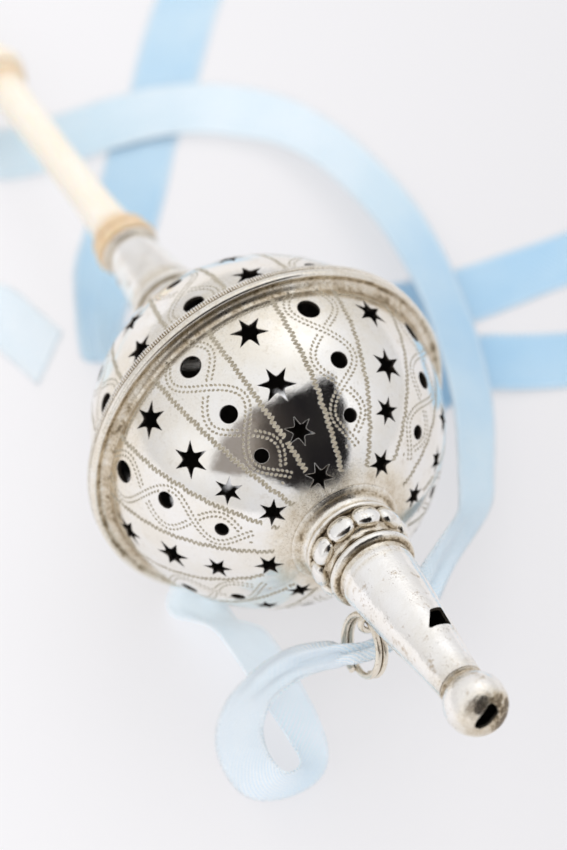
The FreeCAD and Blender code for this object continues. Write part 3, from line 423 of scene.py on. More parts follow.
def solid_from(name, parts):
    """One mesh from many closed ones, each turned outward."""
    verts, faces = [], []
    for v, f in parts:
        if volume(v, f) < 0:
            f = [x[::-1] for x in f]
        b = len(verts)
        verts += [tuple(p) for p in v]
        faces += [[b + i for i in x] for x in f]
    return mesh_object(name, verts, faces)


def star_points(r, turn):
    pts = []
    for k in range(6):
        a = rad(turn + 60 * k)
        pts.append((r * math.cos(a), r * math.sin(a)))
        for f in (0.30, 0.5, 0.70):
            b = a + rad(60 * f)
            q = r * (STAR_WAIST if f == 0.5 else STAR_WAIST * 1.14)
            pts.append((q * math.cos(b), q * math.sin(b)))
    return pts


def hole_list(star_lon, star_at, disc_at):
    half = 180.0 / GORES
    out = []
    for g in range(-GORES // 2 + 1, GORES // 2 + 1):
        for i, la in enumerate(STAR_LAT):
            lat, lon = star_at.get((i, g), (la, star_lon + 2 * half * g))
            out.append(("star", i, lat, lon))
        for i, la in enumerate(DISC_LAT):
            lat, lon = disc_at.get((i, g), (la, star_lon + half + 2 * half * g))
            out.append(("disc", i, lat, lon))
    return out


def tangents(d):
    east = unit(np.cross((0, 0, 1.0), d))
    return east, np.cross(d, east)


def hole_cutters(name, holes, side):
    parts = []
    for kind, i, lat, lon in holes:
        d = sph(lat * side, lon)
        e, n = tangents(d)
        if kind == "disc":
            pts = [(DISC_R[i] * math.cos(2 * math.pi * k / 36), DISC_R[i] * math.sin(2 * math.pi * k / 36))
                   for k in range(36)]
        else:
            pts = star_points(STAR_R[i], STAR_TURN[i] * side)
        parts.append(prism_geo(pts, np.zeros(3), e, n, d, BALL_R - 1.6, BALL_R + 0.9))
    return solid_from(name, parts)


def stroke(lat, lon, ang, length, width, depth, R=BALL_R):
    """A graver's cut: a long pit that is deepest in the middle."""
    d = sph(lat, lon)
    e, n = tangents(d)
    u = e * math.cos(ang) + n * math.sin(ang)
    w = np.cross(d, u)
    c = d * (R + 0.02)
    g, h, s = u * length / 2, w * width / 2, u * length * 0.26
    v = [c + g, c + s + h, c - s + h, c - g, c - s - h, c + s - h, c + s * 0.9 - d * depth, c - s * 0.9 - d * depth,
         c + d * 0.16]
    return v, [(k, (k + 1) % 6, 8) for k in range(6)] + [
        (1, 0, 6), (2, 1, 6), (2, 6, 7), (3, 2, 7), (4, 3, 7), (5, 4, 7), (5, 7, 6), (0, 5, 6)]


def engraving(star_lon, holes, side, seed):
    """Three batches of strokes that don't overlap inside one batch."""
    rng = np.random.default_rng(seed)
    half = 180.0 / GORES
    ropes = ([], [])
    mm_lat = 180 / math.pi / BALL_R
    # a stroke may pass between the narrow tips of a star, not over a round hole
    hole_dirs = [(sph(la, lo), STAR_R[i] - 0.34 if k == "star" else DISC_R[i]) for k, i, la, lo in holes]

    def clear(lat, lon, gap):
        d = sph(lat, lon)
        return all(math.acos(min(1, float(d @ h))) * BALL_R > r + gap for h, r in hole_dirs)

    for g in range(GORES):
        for s in (-0.5, 0.5):
            lon0 = star_lon + 2 * half * g + s * half
            lat, k = 4.6, 0
            period = 0.60
            amp = 0.46
            wob = rng.uniform(-0.4, 0.4, 8)
            while lat < 66.0:
                drift = np.interp(lat, np.linspace(4, 67, 8), wob) * 0.5
                a = math.atan2(period / 2, 2 * amp) * (1 if k % 2 else -1)
                jig = rng.normal(0, 0.045) + 0.05 * math.sin(lat * 0.9 + g)
                amp_k = amp * (1 - 0.18 * (lat / 66)) * (1 + rng.normal(0, 0.06))
                length = math.hypot(2 * amp_k, period / 2) * 1.06
                ropes[k % 2].append((lat, lon0 + drift + jig * mm_lat / max(0.3, math.cos(rad(lat))), a + rng.normal(0, 0.05),
                                     length, 0.33, 0.10))
                lat += period / 2 * mm_lat
                k += 1
        # the line across the top of each star gore
        lon0 = star_lon + 2 * half * g
        n = 27
        for j in range(n):
            f = (j / (n - 1) - 0.5) * 2
            ropes[j % 2].append((5.7 + 0.35 * f * f, lon0 + f * half * 0.46, 1.05 if j % 2 else -1.05, 0.52, 0.25, 0.09))

    dots, seen = [], []
    for g in range(GORES):
        lon0 = star_lon + half + 2 * half * g
        for sign in (1, -1):
            lats = np.linspace(3.6, 60.5, 900)
            t = np.interp(lats, [-9.4, 10.6, 30.6, 48.4, 64.6], [-1, 0, 1, 2, 3])
            ampl = np.interp(lats, [4, 12, 30, 48, 58, 61], [8.3, 8.3, 8.1, 7.8, 7.0, 5.0])
            off = sign * ampl * np.cos(math.pi * t)
            p = sph(lats, lon0 + off) * BALL_R
            tan = unit(np.gradient(p, axis=0))
            side_dir = np.cross(unit(p), tan)
            for row, shift in ((0, 0.31), (1, -0.31)):
                q = p + side_dir * shift
                step = np.r_[0, np.cumsum(np.linalg.norm(np.diff(q, axis=0), axis=1))]
                pitch = 0.55
                m = int(step[-1] / pitch)
                at = (np.arange(m) + 0.5 * row) * pitch
                at = at[at < step[-1]]
                idx = np.searchsorted(step, at).clip(0, len(q) - 1)
                for i2 in idx:
                    d = unit(q[i2])
                    lat, lon = math.degrees(math.asin(d[2])), math.degrees(math.atan2(d[1], d[0]))
                    e, n = tangents(d)
                    a = math.atan2(float(tan[i2] @ n), float(tan[i2] @ e))
                    seen.append(q[i2])
                    dots.append((lat, lon, a + (0.5 if row else -0.5) + rng.normal(0, 0.12), 0.50 * (1 + rng.normal(0, 0.07)),
                                 0.36, 0.11))
    # drop dots that would touch another one where the two waves cross
    keep, grid = [], {}
    for p, dspec in zip(seen, dots):
        key = tuple(np.floor(p / 0.5).astype(int))
        near = False
        for dx in (-1, 0, 1):
            for dy in (-1, 0, 1):
                for dz in (-1, 0, 1):
                    for o in grid.get((key[0] + dx, key[1] + dy, key[2] + dz), ()):
                        if np.linalg.norm(p - o) < 0.47:
                            near = True
        if not near:
            grid.setdefault(key, []).append(p)
            keep.append(dspec)
    out = []
    for tag, marks, gap in (("a", ropes[0], 0.42), ("b", ropes[1], 0.42), ("c", keep, 0.22)):
        parts = [stroke(la * side, lo, an * side, le, w, dp) for la, lo, an, le, w, dp in marks if clear(la, lo, gap)]
        out.append(solid_from("marks_" + tag, parts))
    return out


# ---- materials ----------------------------------------------------------
class Nodes:
    def __init__(self, name):
        self.mat = bpy.data.materials.new(name)
        self.mat.use_nodes = True
        self.t = self.mat.node_tree
        self.t.nodes.clear()
        self.out = self.new("ShaderNodeOutputMaterial")
        self.co = None

    def new(self, kind, **kw):
        n = self.t.nodes.new(kind)
        for k, v in kw.items():
            if k.startswith("in_"):
                n.inputs[k[3:].replace("_", " ")].default_value = v
            else:
                setattr(n, k, v)
        return n

    def link(self, a, b):
        self.t.links.new(a, b)

    def attr(self, name):
        return self.new("ShaderNodeAttribute", attribute_name=name)

    def noise(self, scale, detail=3.0, rough=0.5, vec=None, dist=0.0, stretch=None):
        """Noise in millimetres of the turned form."""
        if vec is None:
            vec = self.attr("axis_pos").outputs["Vector"]
        if stretch is not None:
            m = self.new("ShaderNodeMapping")
            m.inputs["Scale"].default_value = stretch
            self.link(vec, m.inputs["Vector"])
            vec = m.outputs["Vector"]
        n = self.new("ShaderNodeTexNoise")
        n.inputs["Scale"].default_value = scale
        n.inputs["Detail"].default_value = detail
        n.inputs["Roughness"].default_value = rough
        n.inputs["Distortion"].default_value = dist
        self.link(vec, n.inputs["Vector"])
        return n.outputs["Fac"]

    def ramp(self, fac, stops, interp="LINEAR"):
        n = self.new("ShaderNodeValToRGB")
        n.color_ramp.interpolation = interp
        els = n.color_ramp.elements
        while len(els) < len(stops):
            els.new(0.5)
        for e, (p, c) in zip(els, stops):
            e.position = p
            e.color = (c, c, c, 1) if isinstance(c, (int, float)) else (*c, 1)
        self.link(fac, n.inputs["Fac"])
        return n.outputs["Color"]

    def math(self, op, a, b=None, clamp=False):
        n = self.new("ShaderNodeMath", operation=op, use_clamp=clamp)
        for i, x in enumerate((a, b)):
            if x is None:
                continue
            if isinstance(x, (int, float)):
                n.inputs[i].default_value = x
            else:
                self.link(x, n.inputs[i])
        return n.outputs[0]

    def mix(self, fac, a, b):
        n = self.new("ShaderNodeMix", data_type="RGBA")
        for sock, x in ((n.inputs[0], fac), (n.inputs[6], a), (n.inputs[7], b)):
            if isinstance(x, (int, float)):
                sock.default_value = x
            elif isinstance(x, tuple):
                sock.default_value = (*x, 1)
            else:
                self.link(x, sock)
        return n.outputs[2]

    def bump(self, height, strength, distance, normal=None):
        n = self.new("ShaderNodeBump")
        n.inputs["Strength"].default_value = strength
        n.inputs["Distance"].default_value = distance
        self.link(height, n.inputs["Height"])
        if normal is not None:
            self.link(normal, n.inputs["Normal"])
        return n.outputs["Normal"]

    def principled(self, **kw):
        n = self.new("ShaderNodeBsdfPrincipled")
        for k, v in kw.items():
            s = n.inputs[k.replace("_", " ")]
            if isinstance(v, (int, float)):
                s.default_value = v
            elif isinstance(v, tuple):
                s.default_value = (*v, 1) if len(v) == 3 and s.type == "RGBA" else v
            else:
                self.link(v, s)
        self.link(n.outputs[0], self.out.inputs["Surface"])
        return n


SILVER = (0.93, 0.915, 0.885)
FILM = (0.86, 0.80, 0.69)
TARNISH = (0.56, 0.45, 0.30)
SOOT = (0.10, 0.075, 0.05)
PIT = (0.20, 0.13, 0.065)


def silver_material(name, wave=1.0, dents=0.0, dirt=1.0, rough=0.085, tint=SILVER, lip_radius=0.11, warm=0.0,
                    brush=1.0, specks=0.3, stains=0.2, worn=()):
    """Worn hand-raised silver: soft waviness, hairline scratches, tarnish
    where fingers and polish don't reach."""
    m = Nodes(name)
    tarn = m.attr("tarnish").outputs["Fac"]
    blotch = m.noise(0.55, 4, 0.62)
    fine = m.noise(2.6, 5, 0.68)
    ao = m.new("ShaderNodeAmbientOcclusion", samples=8)
    ao.inputs["Distance"].default_value = 0.55 * MM
    cav = m.math("POWER", m.math("SUBTRACT", 1.0, ao.outputs["AO"], True), 1.35)
    grime = m.math("MULTIPLY", m.math("ADD", m.math("MULTIPLY", tarn, m.ramp(blotch, [(0.28, 0.35), (0.62, 1.0)])),
                                      m.math("MULTIPLY", cav, 0.75 * dirt)), m.ramp(fine, [(0.25, 0.50), (0.6, 1.1)]))
    if warm:
        grime = m.math("ADD", grime, m.math("MULTIPLY", m.ramp(m.noise(0.16, 4, 0.6), [(0.38, 0.0), (0.62, 1.0)]),
                                            warm), True)
    # places worn and browned by use: (x, y, z, radius)
    use = None
    for x, y, z, r in worn:
        gap = m.new("ShaderNodeVectorMath", operation="DISTANCE")
        m.link(m.attr("axis_pos").outputs["Vector"], gap.inputs[0])
        gap.inputs[1].default_value = (x, y, z)
        near = m.math("SUBTRACT", 1.0, m.math("DIVIDE", gap.outputs["Value"], r), True)
        near = m.math("MULTIPLY", near, m.ramp(m.noise(1.3, 5, 0.7), [(0.36, 0.0), (0.60, 1.6)]))
        use = near if use is None else m.math("MAXIMUM", use, near)
    if use is not None:
        grime = m.math("ADD", grime, m.math("MULTIPLY", use, 1.1), True)
    # brown pits, thickest in corners and in a few loose clusters
    pits = m.ramp(m.noise(4.6, 4, 0.72), [(0.545, 0.0), (0.60, 1.0)])
    where = m.math("ADD", m.math("MULTIPLY", cav, 2.0), m.math("MULTIPLY", tarn, 0.75), True)
    where = m.math("ADD", where, m.math("MULTIPLY", m.ramp(m.noise(0.42, 5, 0.66), [(0.54, 0.0), (0.66, 1.0)]), specks),
                   True)
    pits = m.math("MULTIPLY", pits, where)
    col = m.mix(m.ramp(grime, [(0.02, 0.0), (0.34, 1.0)]), tint, FILM)
    col = m.mix(m.ramp(grime, [(0.34, 0.0), (0.85, 1.0)]), col, TARNISH)
    spill = m.math("MULTIPLY", m.ramp(m.noise(0.62, 5, 0.68), [(0.585, 0.0), (0.70, 1.0)]), stains)
    col = m.mix(spill, col, (0.50, 0.385, 0.25))
    col = m.mix(m.math("MULTIPLY", pits, 0.78), col, PIT)
    col = m.mix(m.ramp(grime, [(0.70, 0.0), (1.0, 0.75)]), col, SOOT)
    # hairlines, mostly round the form, a few across it
    hair = m.math("MULTIPLY", m.noise(1.0, 2, 0.5, stretch=(6, 6, 60)), m.noise(0.5, 2, 0.6))
    hair2 = m.noise(1.0, 3, 0.55, stretch=(38, 9, 14), dist=0.6)
    hair3 = m.noise(1.0, 3, 0.6, stretch=(7, 30, 21), dist=0.4)
    rgh = m.math("ADD", m.math("ADD", m.math("MULTIPLY", grime, 0.40), m.math("MULTIPLY", pits, 0.25)),
                 m.math("ADD", rough, m.math("MULTIPLY", m.math("SUBTRACT", m.noise(3.5, 4, 0.6), 0.45, True), 0.14)), True)
    lip = m.new("ShaderNodeBevel", samples=4)          # edges rubbed round
    lip.inputs["Radius"].default_value = lip_radius * MM
    n = m.bump(m.noise(0.17, 1.5, 0.45), 1.0, 0.11 * wave * MM, lip.outputs["Normal"])
    n = m.bump(m.noise(0.42, 2, 0.5), 1.0, 0.022 * wave * MM, n)
    if dents:
        n = m.bump(m.noise(0.85, 3, 0.6), 1.0, 0.07 * dents * MM, n)
        n = m.bump(m.noise(3.2, 3, 0.6), 1.0, 0.012 * dents * MM, n)
    n = m.bump(hair, 1.0, 0.0022 * brush * MM, n)
    n = m.bump(hair2, 1.0, 0.0016 * brush * MM, n)
    n = m.bump(hair3, 1.0, 0.0014 * brush * MM, n)
    m.principled(Base_Color=col, Metallic=1.0, Roughness=rgh, Normal=n)
    return m.mat


def graved_material(name):
    """The walls of engraved strokes: frosted, with old polish in them."""
    m = Nodes(name)
    v = m.noise(1.4, 5, 0.7)
    col = m.mix(m.ramp(v, [(0.3, 0.0), (0.7, 1.0)]), (0.33, 0.285, 0.205), (0.57, 0.52, 0.42))
    n = m.bump(m.noise(9, 3, 0.6), 1.0, 0.01 * MM)
    m.principled(Base_Color=col, Metallic=0.35, Roughness=0.55, Normal=n)
    return m.mat


def edge_material(name):
    """The sheared wall of a hole: a bright lip, then dark old tarnish."""
    m = Nodes(name)
    v = m.noise(2.0, 4, 0.6)
    length = m.new("ShaderNodeVectorMath", operation="LENGTH")
    m.link(m.attr("axis_pos").outputs["Vector"], length.inputs[0])
    deep = m.new("ShaderNodeMapRange", clamp=True)
    deep.inputs["From Min"].default_value = BALL_R - 0.05
    deep.inputs["From Max"].default_value = BALL_R - 0.13
    m.link(length.outputs["Value"], deep.inputs["Value"])
    col = m.mix(m.ramp(v, [(0.35, 0.0), (0.7, 1.0)]), (0.62, 0.55, 0.45), (0.86, 0.83, 0.77))
    col = m.mix(deep.outputs["Result"], col, (0.030, 0.022, 0.016))
    met = m.math("SUBTRACT", 0.9, m.math("MULTIPLY", deep.outputs["Result"], 0.6))
    m.principled(Base_Color=col, Metallic=met, Roughness=0.36)
    return m.mat


def cut_metal_material(name):
    m = Nodes(name)
    v = m.noise(2.0, 4, 0.6)
    col = m.mix(m.ramp(v, [(0.35, 0.0), (0.7, 1.0)]), (0.10, 0.08, 0.06), (0.34, 0.30, 0.24))
    m.principled(Base_Color=col, Metallic=0.8, Roughness=0.42)
    return m.mat


def inside_material(name):
    m = Nodes(name)
    v = m.noise(0.5, 5, 0.65)
    col = m.mix(m.ramp(v, [(0.3, 0.0), (0.75, 1.0)]), (0.012, 0.009, 0.007), (0.05, 0.038, 0.028))
    m.principled(Base_Color=col, Metallic=0.35, Roughness=0.7, Normal=m.bump(v, 1.0, 0.2 * MM))
    return m.mat


def bone_material(name, stain=0.0):
    """Polished bone: cream, long pores and darker canals along the shaft."""
    m = Nodes(name)
    tarn = m.attr("tarnish").outputs["Fac"]
    grain = m.noise(1.0, 4, 0.6, stretch=(2.6, 2.6, 0.16))
    pores = m.noise(1.0, 3, 0.7, stretch=(9, 9, 0.5))
    cloud = m.noise(0.12, 3, 0.5)
    base = m.mix(m.ramp(cloud, [(0.3, 0.0), (0.7, 1.0)]), (0.93, 0.865, 0.75), (0.965, 0.93, 0.86))
    base = m.mix(m.ramp(grain, [(0.35, 0.55), (0.62, 0.0)]), base, (0.86, 0.76, 0.60))
    base = m.mix(m.ramp(pores, [(0.27, 0.75), (0.36, 0.0)]), base, (0.42, 0.28, 0.15))
    ochre = m.mix(m.ramp(m.noise(0.8, 5, 0.7), [(0.3, 0.0), (0.75, 1.0)]), (0.80, 0.57, 0.29), (0.60, 0.36, 0.14))
    age = m.math("ADD", m.math("MULTIPLY", tarn, m.ramp(m.noise(0.9, 4, 0.65), [(0.25, 0.45), (0.7, 1.1)])), stain, True)
    base = m.mix(age, base, ochre)
    ao = m.new("ShaderNodeAmbientOcclusion", samples=8)
    ao.inputs["Distance"].default_value = 0.7 * MM
    base = m.mix(m.math("MULTIPLY", m.math("SUBTRACT", 1.0, ao.outputs["AO"], True), 0.8), base, (0.30, 0.17, 0.07))
    n = m.bump(grain, 1.0, 0.02 * MM)
    n = m.bump(pores, 1.0, 0.03 * MM, n)
    n = m.bump(m.noise(1.0, 2, 0.5, stretch=(0.6, 0.6, 9)), 1.0, 0.012 * MM, n)
    m.principled(Base_Color=base, Roughness=m.ramp(grain, [(0.3, 0.42), (0.7, 0.30)]), Normal=n,
                 Subsurface_Weight=0.25, Subsurface_Radius=(1.2 * MM, 0.7 * MM, 0.4 * MM), Subsurface_Scale=1.0,
                 Specular_IOR_Level=0.5, Coat_Weight=0.12, Coat_Roughness=0.25)
    return m.mat


def ribbon_material(name):
    """Pale blue satin ribbon: a fine slanting weave, firm selvages, a soft
    sheen; light passes through it."""
    m = Nodes(name)
    uv = m.attr("weave")                     # x along, y across, in mm; z: 0 middle .. 1 edge
    sep = m.new("ShaderNodeSeparateXYZ")
    m.link(uv.outputs["Vector"], sep.inputs[0])
    x, y, e = sep.outputs

    def wave(ax, ay, period, phase=0.0):
        s = m.math("ADD", m.math("MULTIPLY", x, ax), m.math("MULTIPLY", y, ay))
        s = m.math("ADD", m.math("MULTIPLY", s, 2 * math.pi / period), phase)
        return m.math("ADD", m.math("MULTIPLY", m.math("SINE", s), 0.5), 0.5)

    jitter = m.noise(1.0, 3, 0.6, vec=uv.outputs["Vector"], stretch=(0.5, 3.0, 0))
    warp = wave(0.0, 1.0, 0.42)
    weft = wave(1.0, 0.0, 0.46)
    twill = wave(0.74, 0.67, 0.60)
    cloth = m.math("ADD", m.math("MULTIPLY", m.math("MULTIPLY", warp, weft), 0.40), m.math("MULTIPLY", twill, 0.66))
    edge = m.ramp(e, [(0.84, 0.0), (0.90, 1.0)])
    loops = m.math("MULTIPLY", edge, wave(1.0, 0.0, 0.70))
    # painted light and shade: this attribute turns strands that lie in shade deep blue and lit ones nearly white
    painted_light = m.attr("painted_light").outputs["Fac"]     # 0 deep blue .. 1 nearly white
    streak = m.noise(1.0, 4, 0.65, vec=uv.outputs["Vector"], stretch=(0.04, 2.2, 0))
    cloud = m.noise(0.09, 3, 0.5, vec=uv.outputs["Vector"])
    painted_tone = m.math("ADD", painted_light, m.math("MULTIPLY", m.math("SUBTRACT", cloud, 0.5), 0.5), True)
    base = m.ramp(painted_tone, [(0.0, (0.44, 0.66, 0.83)), (0.5, (0.71, 0.815, 0.875)), (1.0, (0.95, 0.965, 0.975))])
    base = m.mix(m.ramp(streak, [(0.35, 0.14), (0.65, 0.0)]), base, (0.60, 0.78, 0.90))
    shade = m.ramp(painted_tone, [(0.0, (0.34, 0.60, 0.84)), (0.5, (0.50, 0.73, 0.88)), (1.0, (0.62, 0.79, 0.91))])
    base = m.mix(m.math("MULTIPLY", m.math("SUBTRACT", 0.60, cloth, True), 1.45), base, shade)
    base = m.mix(m.math("MULTIPLY", loops, 0.60), base, (0.92, 0.96, 0.985))
    h = m.math("ADD", cloth, m.math("MULTIPLY", jitter, 0.5))
    h = m.math("ADD", h, m.math("MULTIPLY", loops, 1.1))
    n = m.bump(h, 1.0, 0.085 * MM)
    n = m.bump(m.noise(0.35, 2, 0.5, vec=uv.outputs["Vector"]), 1.0, 0.14 * MM, n)
    # painted glow: the ribbon emits its own colour at strength 0.06 everywhere, and more where the bounce attribute
    # stands in for light thrown up from the table
    p = m.principled(Base_Color=base, Roughness=m.ramp(cloth, [(0.2, 0.50), (0.8, 0.36)]), Normal=n,
                     Specular_IOR_Level=0.42, Sheen_Weight=0.35, Sheen_Roughness=0.4,
                     Sheen_Tint=(0.85, 0.93, 1.0), Anisotropic=0.4, Emission_Color=base,
                     Emission_Strength=m.math("ADD", m.attr("bounce").outputs["Fac"], 0.06))
    tr = m.new("ShaderNodeBsdfTranslucent")
    m.link(m.mix(0.35, base, (0.80, 0.91, 0.98)), tr.inputs["Color"])
    m.link(n, tr.inputs["Normal"])
    sh = m.new("ShaderNodeMixShader")
    sh.inputs[0].default_value = 0.14
    m.link(p.outputs[0], sh.inputs[1])
    m.link(tr.outputs[0], sh.inputs[2])
    m.link(sh.outputs[0], m.out.inputs["Surface"])
    return m.mat


def pellet_material(name):
    m = Nodes(name)
    v = m.noise(1.2, 5, 0.65, vec=m.new("ShaderNodeTexCoord").outputs["Object"], stretch=(1000, 1000, 1000))
    col = m.mix(m.ramp(v, [(0.3, 0.0), (0.7, 1.0)]), (0.20, 0.185, 0.17), (0.46, 0.44, 0.42))
    m.principled(Base_Color=col, Metallic=1.0, Roughness=m.ramp(v, [(0.3, 0.5), (0.7, 0.3)]),
                 Normal=m.bump(v, 1.0, 0.05 * MM))
    return m.mat


def plain_metal(name, color, rough):
    m = Nodes(name)
    v = m.noise(1.0, 4, 0.6, vec=m.new("ShaderNodeTexCoord").outputs["Object"], stretch=(900, 900, 900))
    col = m.mix(m.ramp(v, [(0.3, 0.0), (0.7, 1.0)]), tuple(c * 0.7 for c in color), color)
    m.principled(Base_Color=col, Metallic=1.0, Roughness=rough, Normal=m.bump(v, 1.0, 0.02 * MM))
    return m.mat


M_BALL = silver_material("silver_ball", wave=1.0, dirt=0.9, rough=0.045, warm=0.16, brush=0.7, specks=0.16)
M_COLLAR = silver_material("silver_collar", wave=0.6, dents=0.8, dirt=1.3, rough=0.07, warm=0.09, specks=0.7, stains=0.45)
M_TUBE = silver_material("silver_tube", wave=1.4, dents=1.1, dirt=1.1, rough=0.055, warm=0.12, specks=0.9,
                         tint=(1.0, 0.985, 0.96), stains=0.75)
M_KNOB = silver_material("silver_knob", wave=2.2, dents=1.8, dirt=1.3, rough=0.045, warm=0.10, specks=1.0,
                         tint=(0.99, 0.975, 0.95), stains=0.9,
                         worn=((-0.22, -2.38, 56.4, 2.9), (2.2, -1.6, 56.2, 1.5)))
M_WIRE = silver_material("silver_wire", wave=0.4, dents=0.3, dirt=0.8, rough=0.10, tint=(0.97, 0.955, 0.93),
                         lip_radius=0.03)
M_RING = silver_material("silver_ring", wave=0.4, dents=0.5, dirt=2.1, rough=0.11, tint=(0.84, 0.75, 0.61),
                         lip_radius=0.03, warm=0.4, specks=1.3, stains=0.6)
M_GRAVED = graved_material("engraved_strokes")
M_EDGE = edge_material("cut_edge")
M_CUT = cut_metal_material("cut_metal")
M_INSIDE = inside_material("inside_tarnish")
M_BONE = bone_material("bone")
M_BONE_RING = bone_material("bone_stained", 0.42)
M_RIBBON = ribbon_material("ribbon_satin")
M_PELLET = pellet_material("pellet_metal")
M_PIN = plain_metal("pin_silver", (0.80, 0.76, 0.70), 0.25)
M_WOODLESS = plain_metal("windway_silver", (0.45, 0.40, 0.33), 0.45)


# ---- the ball -----------------------------------------------------------
def bump_at(x, centre, width):
    return np.exp(-((x - centre) / width) ** 2)


def shell_tarnish(rho, z):
    z = np.abs(z)
    r = np.hypot(rho, z)
    rim = np.clip(bump_at(z, 1.15, 0.55) * (rho < 23.7), 0, 1)
    foot = np.clip((10.6 - rho) / 2.6, 0, 1) * (z > 15)
    near = 0.26 * np.clip((9.5 - z) / 8.0, 0, 1)
    groove = 0.9 * bump_at(rho, 23.22, 0.13) * (z < 1.0)
    return np.clip(0.50 * rim + 0.42 * foot + near + groove + 0.05, 0, 1)


def shell_classes(side):
    def classes(c, n, seg, on):
        r = np.linalg.norm(c, axis=1)
        radial = (c * n).sum(1) / np.maximum(r, 1e-9)
        rho = np.hypot(c[:, 0], c[:, 1])
        out = np.zeros(len(c), int)
        inner = on & (np.abs(r - RI) < 0.05) & (radial < -0.9)
        pit = ~on & (r > BALL_R - 0.13) & (radial > 0.12)
        wall = ~on & ~pit
        out[pit] = 1
        out[wall] = 2
        out[inner] = 3
        out[on & (rho < POLE_HOLE_R + 0.01)] = 2
        return out
    return classes


SEGS = 240
FRONT_HOLES = hole_list(FRONT_STAR_LON, FRONT_STAR_AT, FRONT_DISC_AT)
REAR_HOLES = hole_list(REAR_STAR_LON, REAR_STAR_AT, REAR_DISC_AT)
mid = (BALL_R * math.cos(rad(42)), BALL_R * math.sin(rad(42)))
mid_in = (RI * math.cos(rad(42)), RI * math.sin(rad(42)))
shell_front = [
    (RI, 0.0), (RIM_R - 0.15, 0.0), (RIM_R, 0.15, RIM_R - 0.04, 0.04, 4), (RIM_R, 0.55),
    (23.55, 0.95, 23.97, 0.87, 10), (23.2, 0.78), (21.93, on_sphere(21.93, BALL_R), 22.35, 0.97, 14),
    (POLE_HOLE_R, on_sphere(POLE_HOLE_R, BALL_R), *mid, 58),
    (POLE_HOLE_R, on_sphere(POLE_HOLE_R, RI)), (RI, 0.0, *mid_in, 30)]
shell_rear = [
    (RI, 0.0), (BAND_R, 0.0), (BAND_R, 0.9), (23.2, 0.78),
    (21.93, on_sphere(21.93, BALL_R), 22.35, 0.97, 14),
    (POLE_HOLE_R, on_sphere(POLE_HOLE_R, BALL_R), *mid, 58),
    (POLE_HOLE_R, on_sphere(POLE_HOLE_R, RI)), (RI, 0.0, *mid_in, 30)]

made = []


def keep(ob, body, slot, *nodes):
    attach(ob, body)
    if nodes:
        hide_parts(*nodes)
    made.append(ob)
    return ob


for name, prof, holes, lon, side, seed in (
        ("front_shell", shell_front, FRONT_HOLES, FRONT_STAR_LON, 1, 11),
        ("rear_shell", shell_rear, REAR_HOLES, REAR_STAR_LON, -1, 23)):
    cuts = [hole_cutters(name + "_holes", holes, side)] + engraving(lon, holes, side, seed)
    ob = turned(name + "_skin", prof, [M_BALL, M_GRAVED, M_EDGE, M_INSIDE], SEGS, cuts,
                shell_classes(side), shell_tarnish, flip=side < 0)
    keep(ob, "rattle", "engraved_silver", name)

# milled wire round the seam: a rounded strip with slanting ticks
teeth, per = 420, 5
verts, faces = [], []
n_ring = teeth * per
rows = [(-0.92, -0.10), (-0.86, -0.03), (-0.74, 0.0), (-0.52, 0.0), (-0.30, 0.0), (-0.18, -0.03), (-0.12, -0.10)]
for z, drop in rows:
    for k in range(n_ring):
        f = (k / per) % 1.0
        tick = 0.22 * (0.5 - 0.5 * math.cos(2 * math.pi * f)) ** 0.6
        a = 2 * math.pi * k / n_ring
        r = RIM_R - 0.22 + tick + drop
        verts.append((r * math.cos(a), r * math.sin(a), z))
for z in (rows[-1][0], rows[0][0]):
    for k in range(n_ring):
        a = 2 * math.pi * k / n_ring
        verts.append((BAND_R * math.cos(a), BAND_R * math.sin(a), z))
nr = len(rows) + 2
for i in range(nr):
    for k in range(n_ring):
        m = (k + 1) % n_ring
        j = (i + 1) % nr
        faces.append((i * n_ring + k, i * n_ring + m, j * n_ring + m, j * n_ring + k))


def free_mesh(name, verts, faces, mats, tarnish=None, sharp=40.0, mat_of=None):
    """A mesh in local millimetres with no single turned profile."""
    v = np.array(verts, float)
    ob = mesh_object(name, v, faces, smooth=True)
    me = ob.data
    set_mats(ob, *mats)
    at = me.attributes.new("axis_pos", "FLOAT_VECTOR", "POINT")
    at.data.foreach_set("vector", v.astype(np.float32).ravel())
    if tarnish is not None:
        t = me.attributes.new("tarnish", "FLOAT", "POINT")
        t.data.foreach_set("value", np.asarray(tarnish(v), dtype=np.float32))
    me.vertices.foreach_set("co", lay(v).ravel())
    me.update()
    me.set_sharp_from_angle(angle=rad(sharp))
    return ob


def outward(verts, faces):
    """A ring-shaped or closed mesh with its faces turned outward."""
    if volume(verts, faces) < 0:
        return [tuple(reversed(f)) for f in faces]
    return faces


ob = free_mesh("milled_wire", verts, outward(verts, faces), [M_WIRE],
               lambda v: np.clip(0.55 - (np.hypot(v[:, 0], v[:, 1]) - 23.95) * 4, 0.03, 1), 50)
keep(ob, "rattle", "silver", "milled_band")


# ---- collars ------------------------------------------------------------
def collar_tarnish(rho, z):
    z = np.abs(z)
    base = 0.10 + 0 * z
    for c, w, a in ((21.35, 0.35, 0.8), (22.45, 0.22, 0.9), (23.5, 0.22, 0.9), (26.2, 0.35, 0.55), (27.5, 0.20, 0.9),
                    (28.8, 0.18, 0.8)):
        base = base + a * bump_at(z, c, w)
    base = base + 0.75 * bump_at(z, 24.8, 1.3) * np.clip((5.75 - rho) / 0.3, 0, 1)
    return np.clip(base, 0, 1)


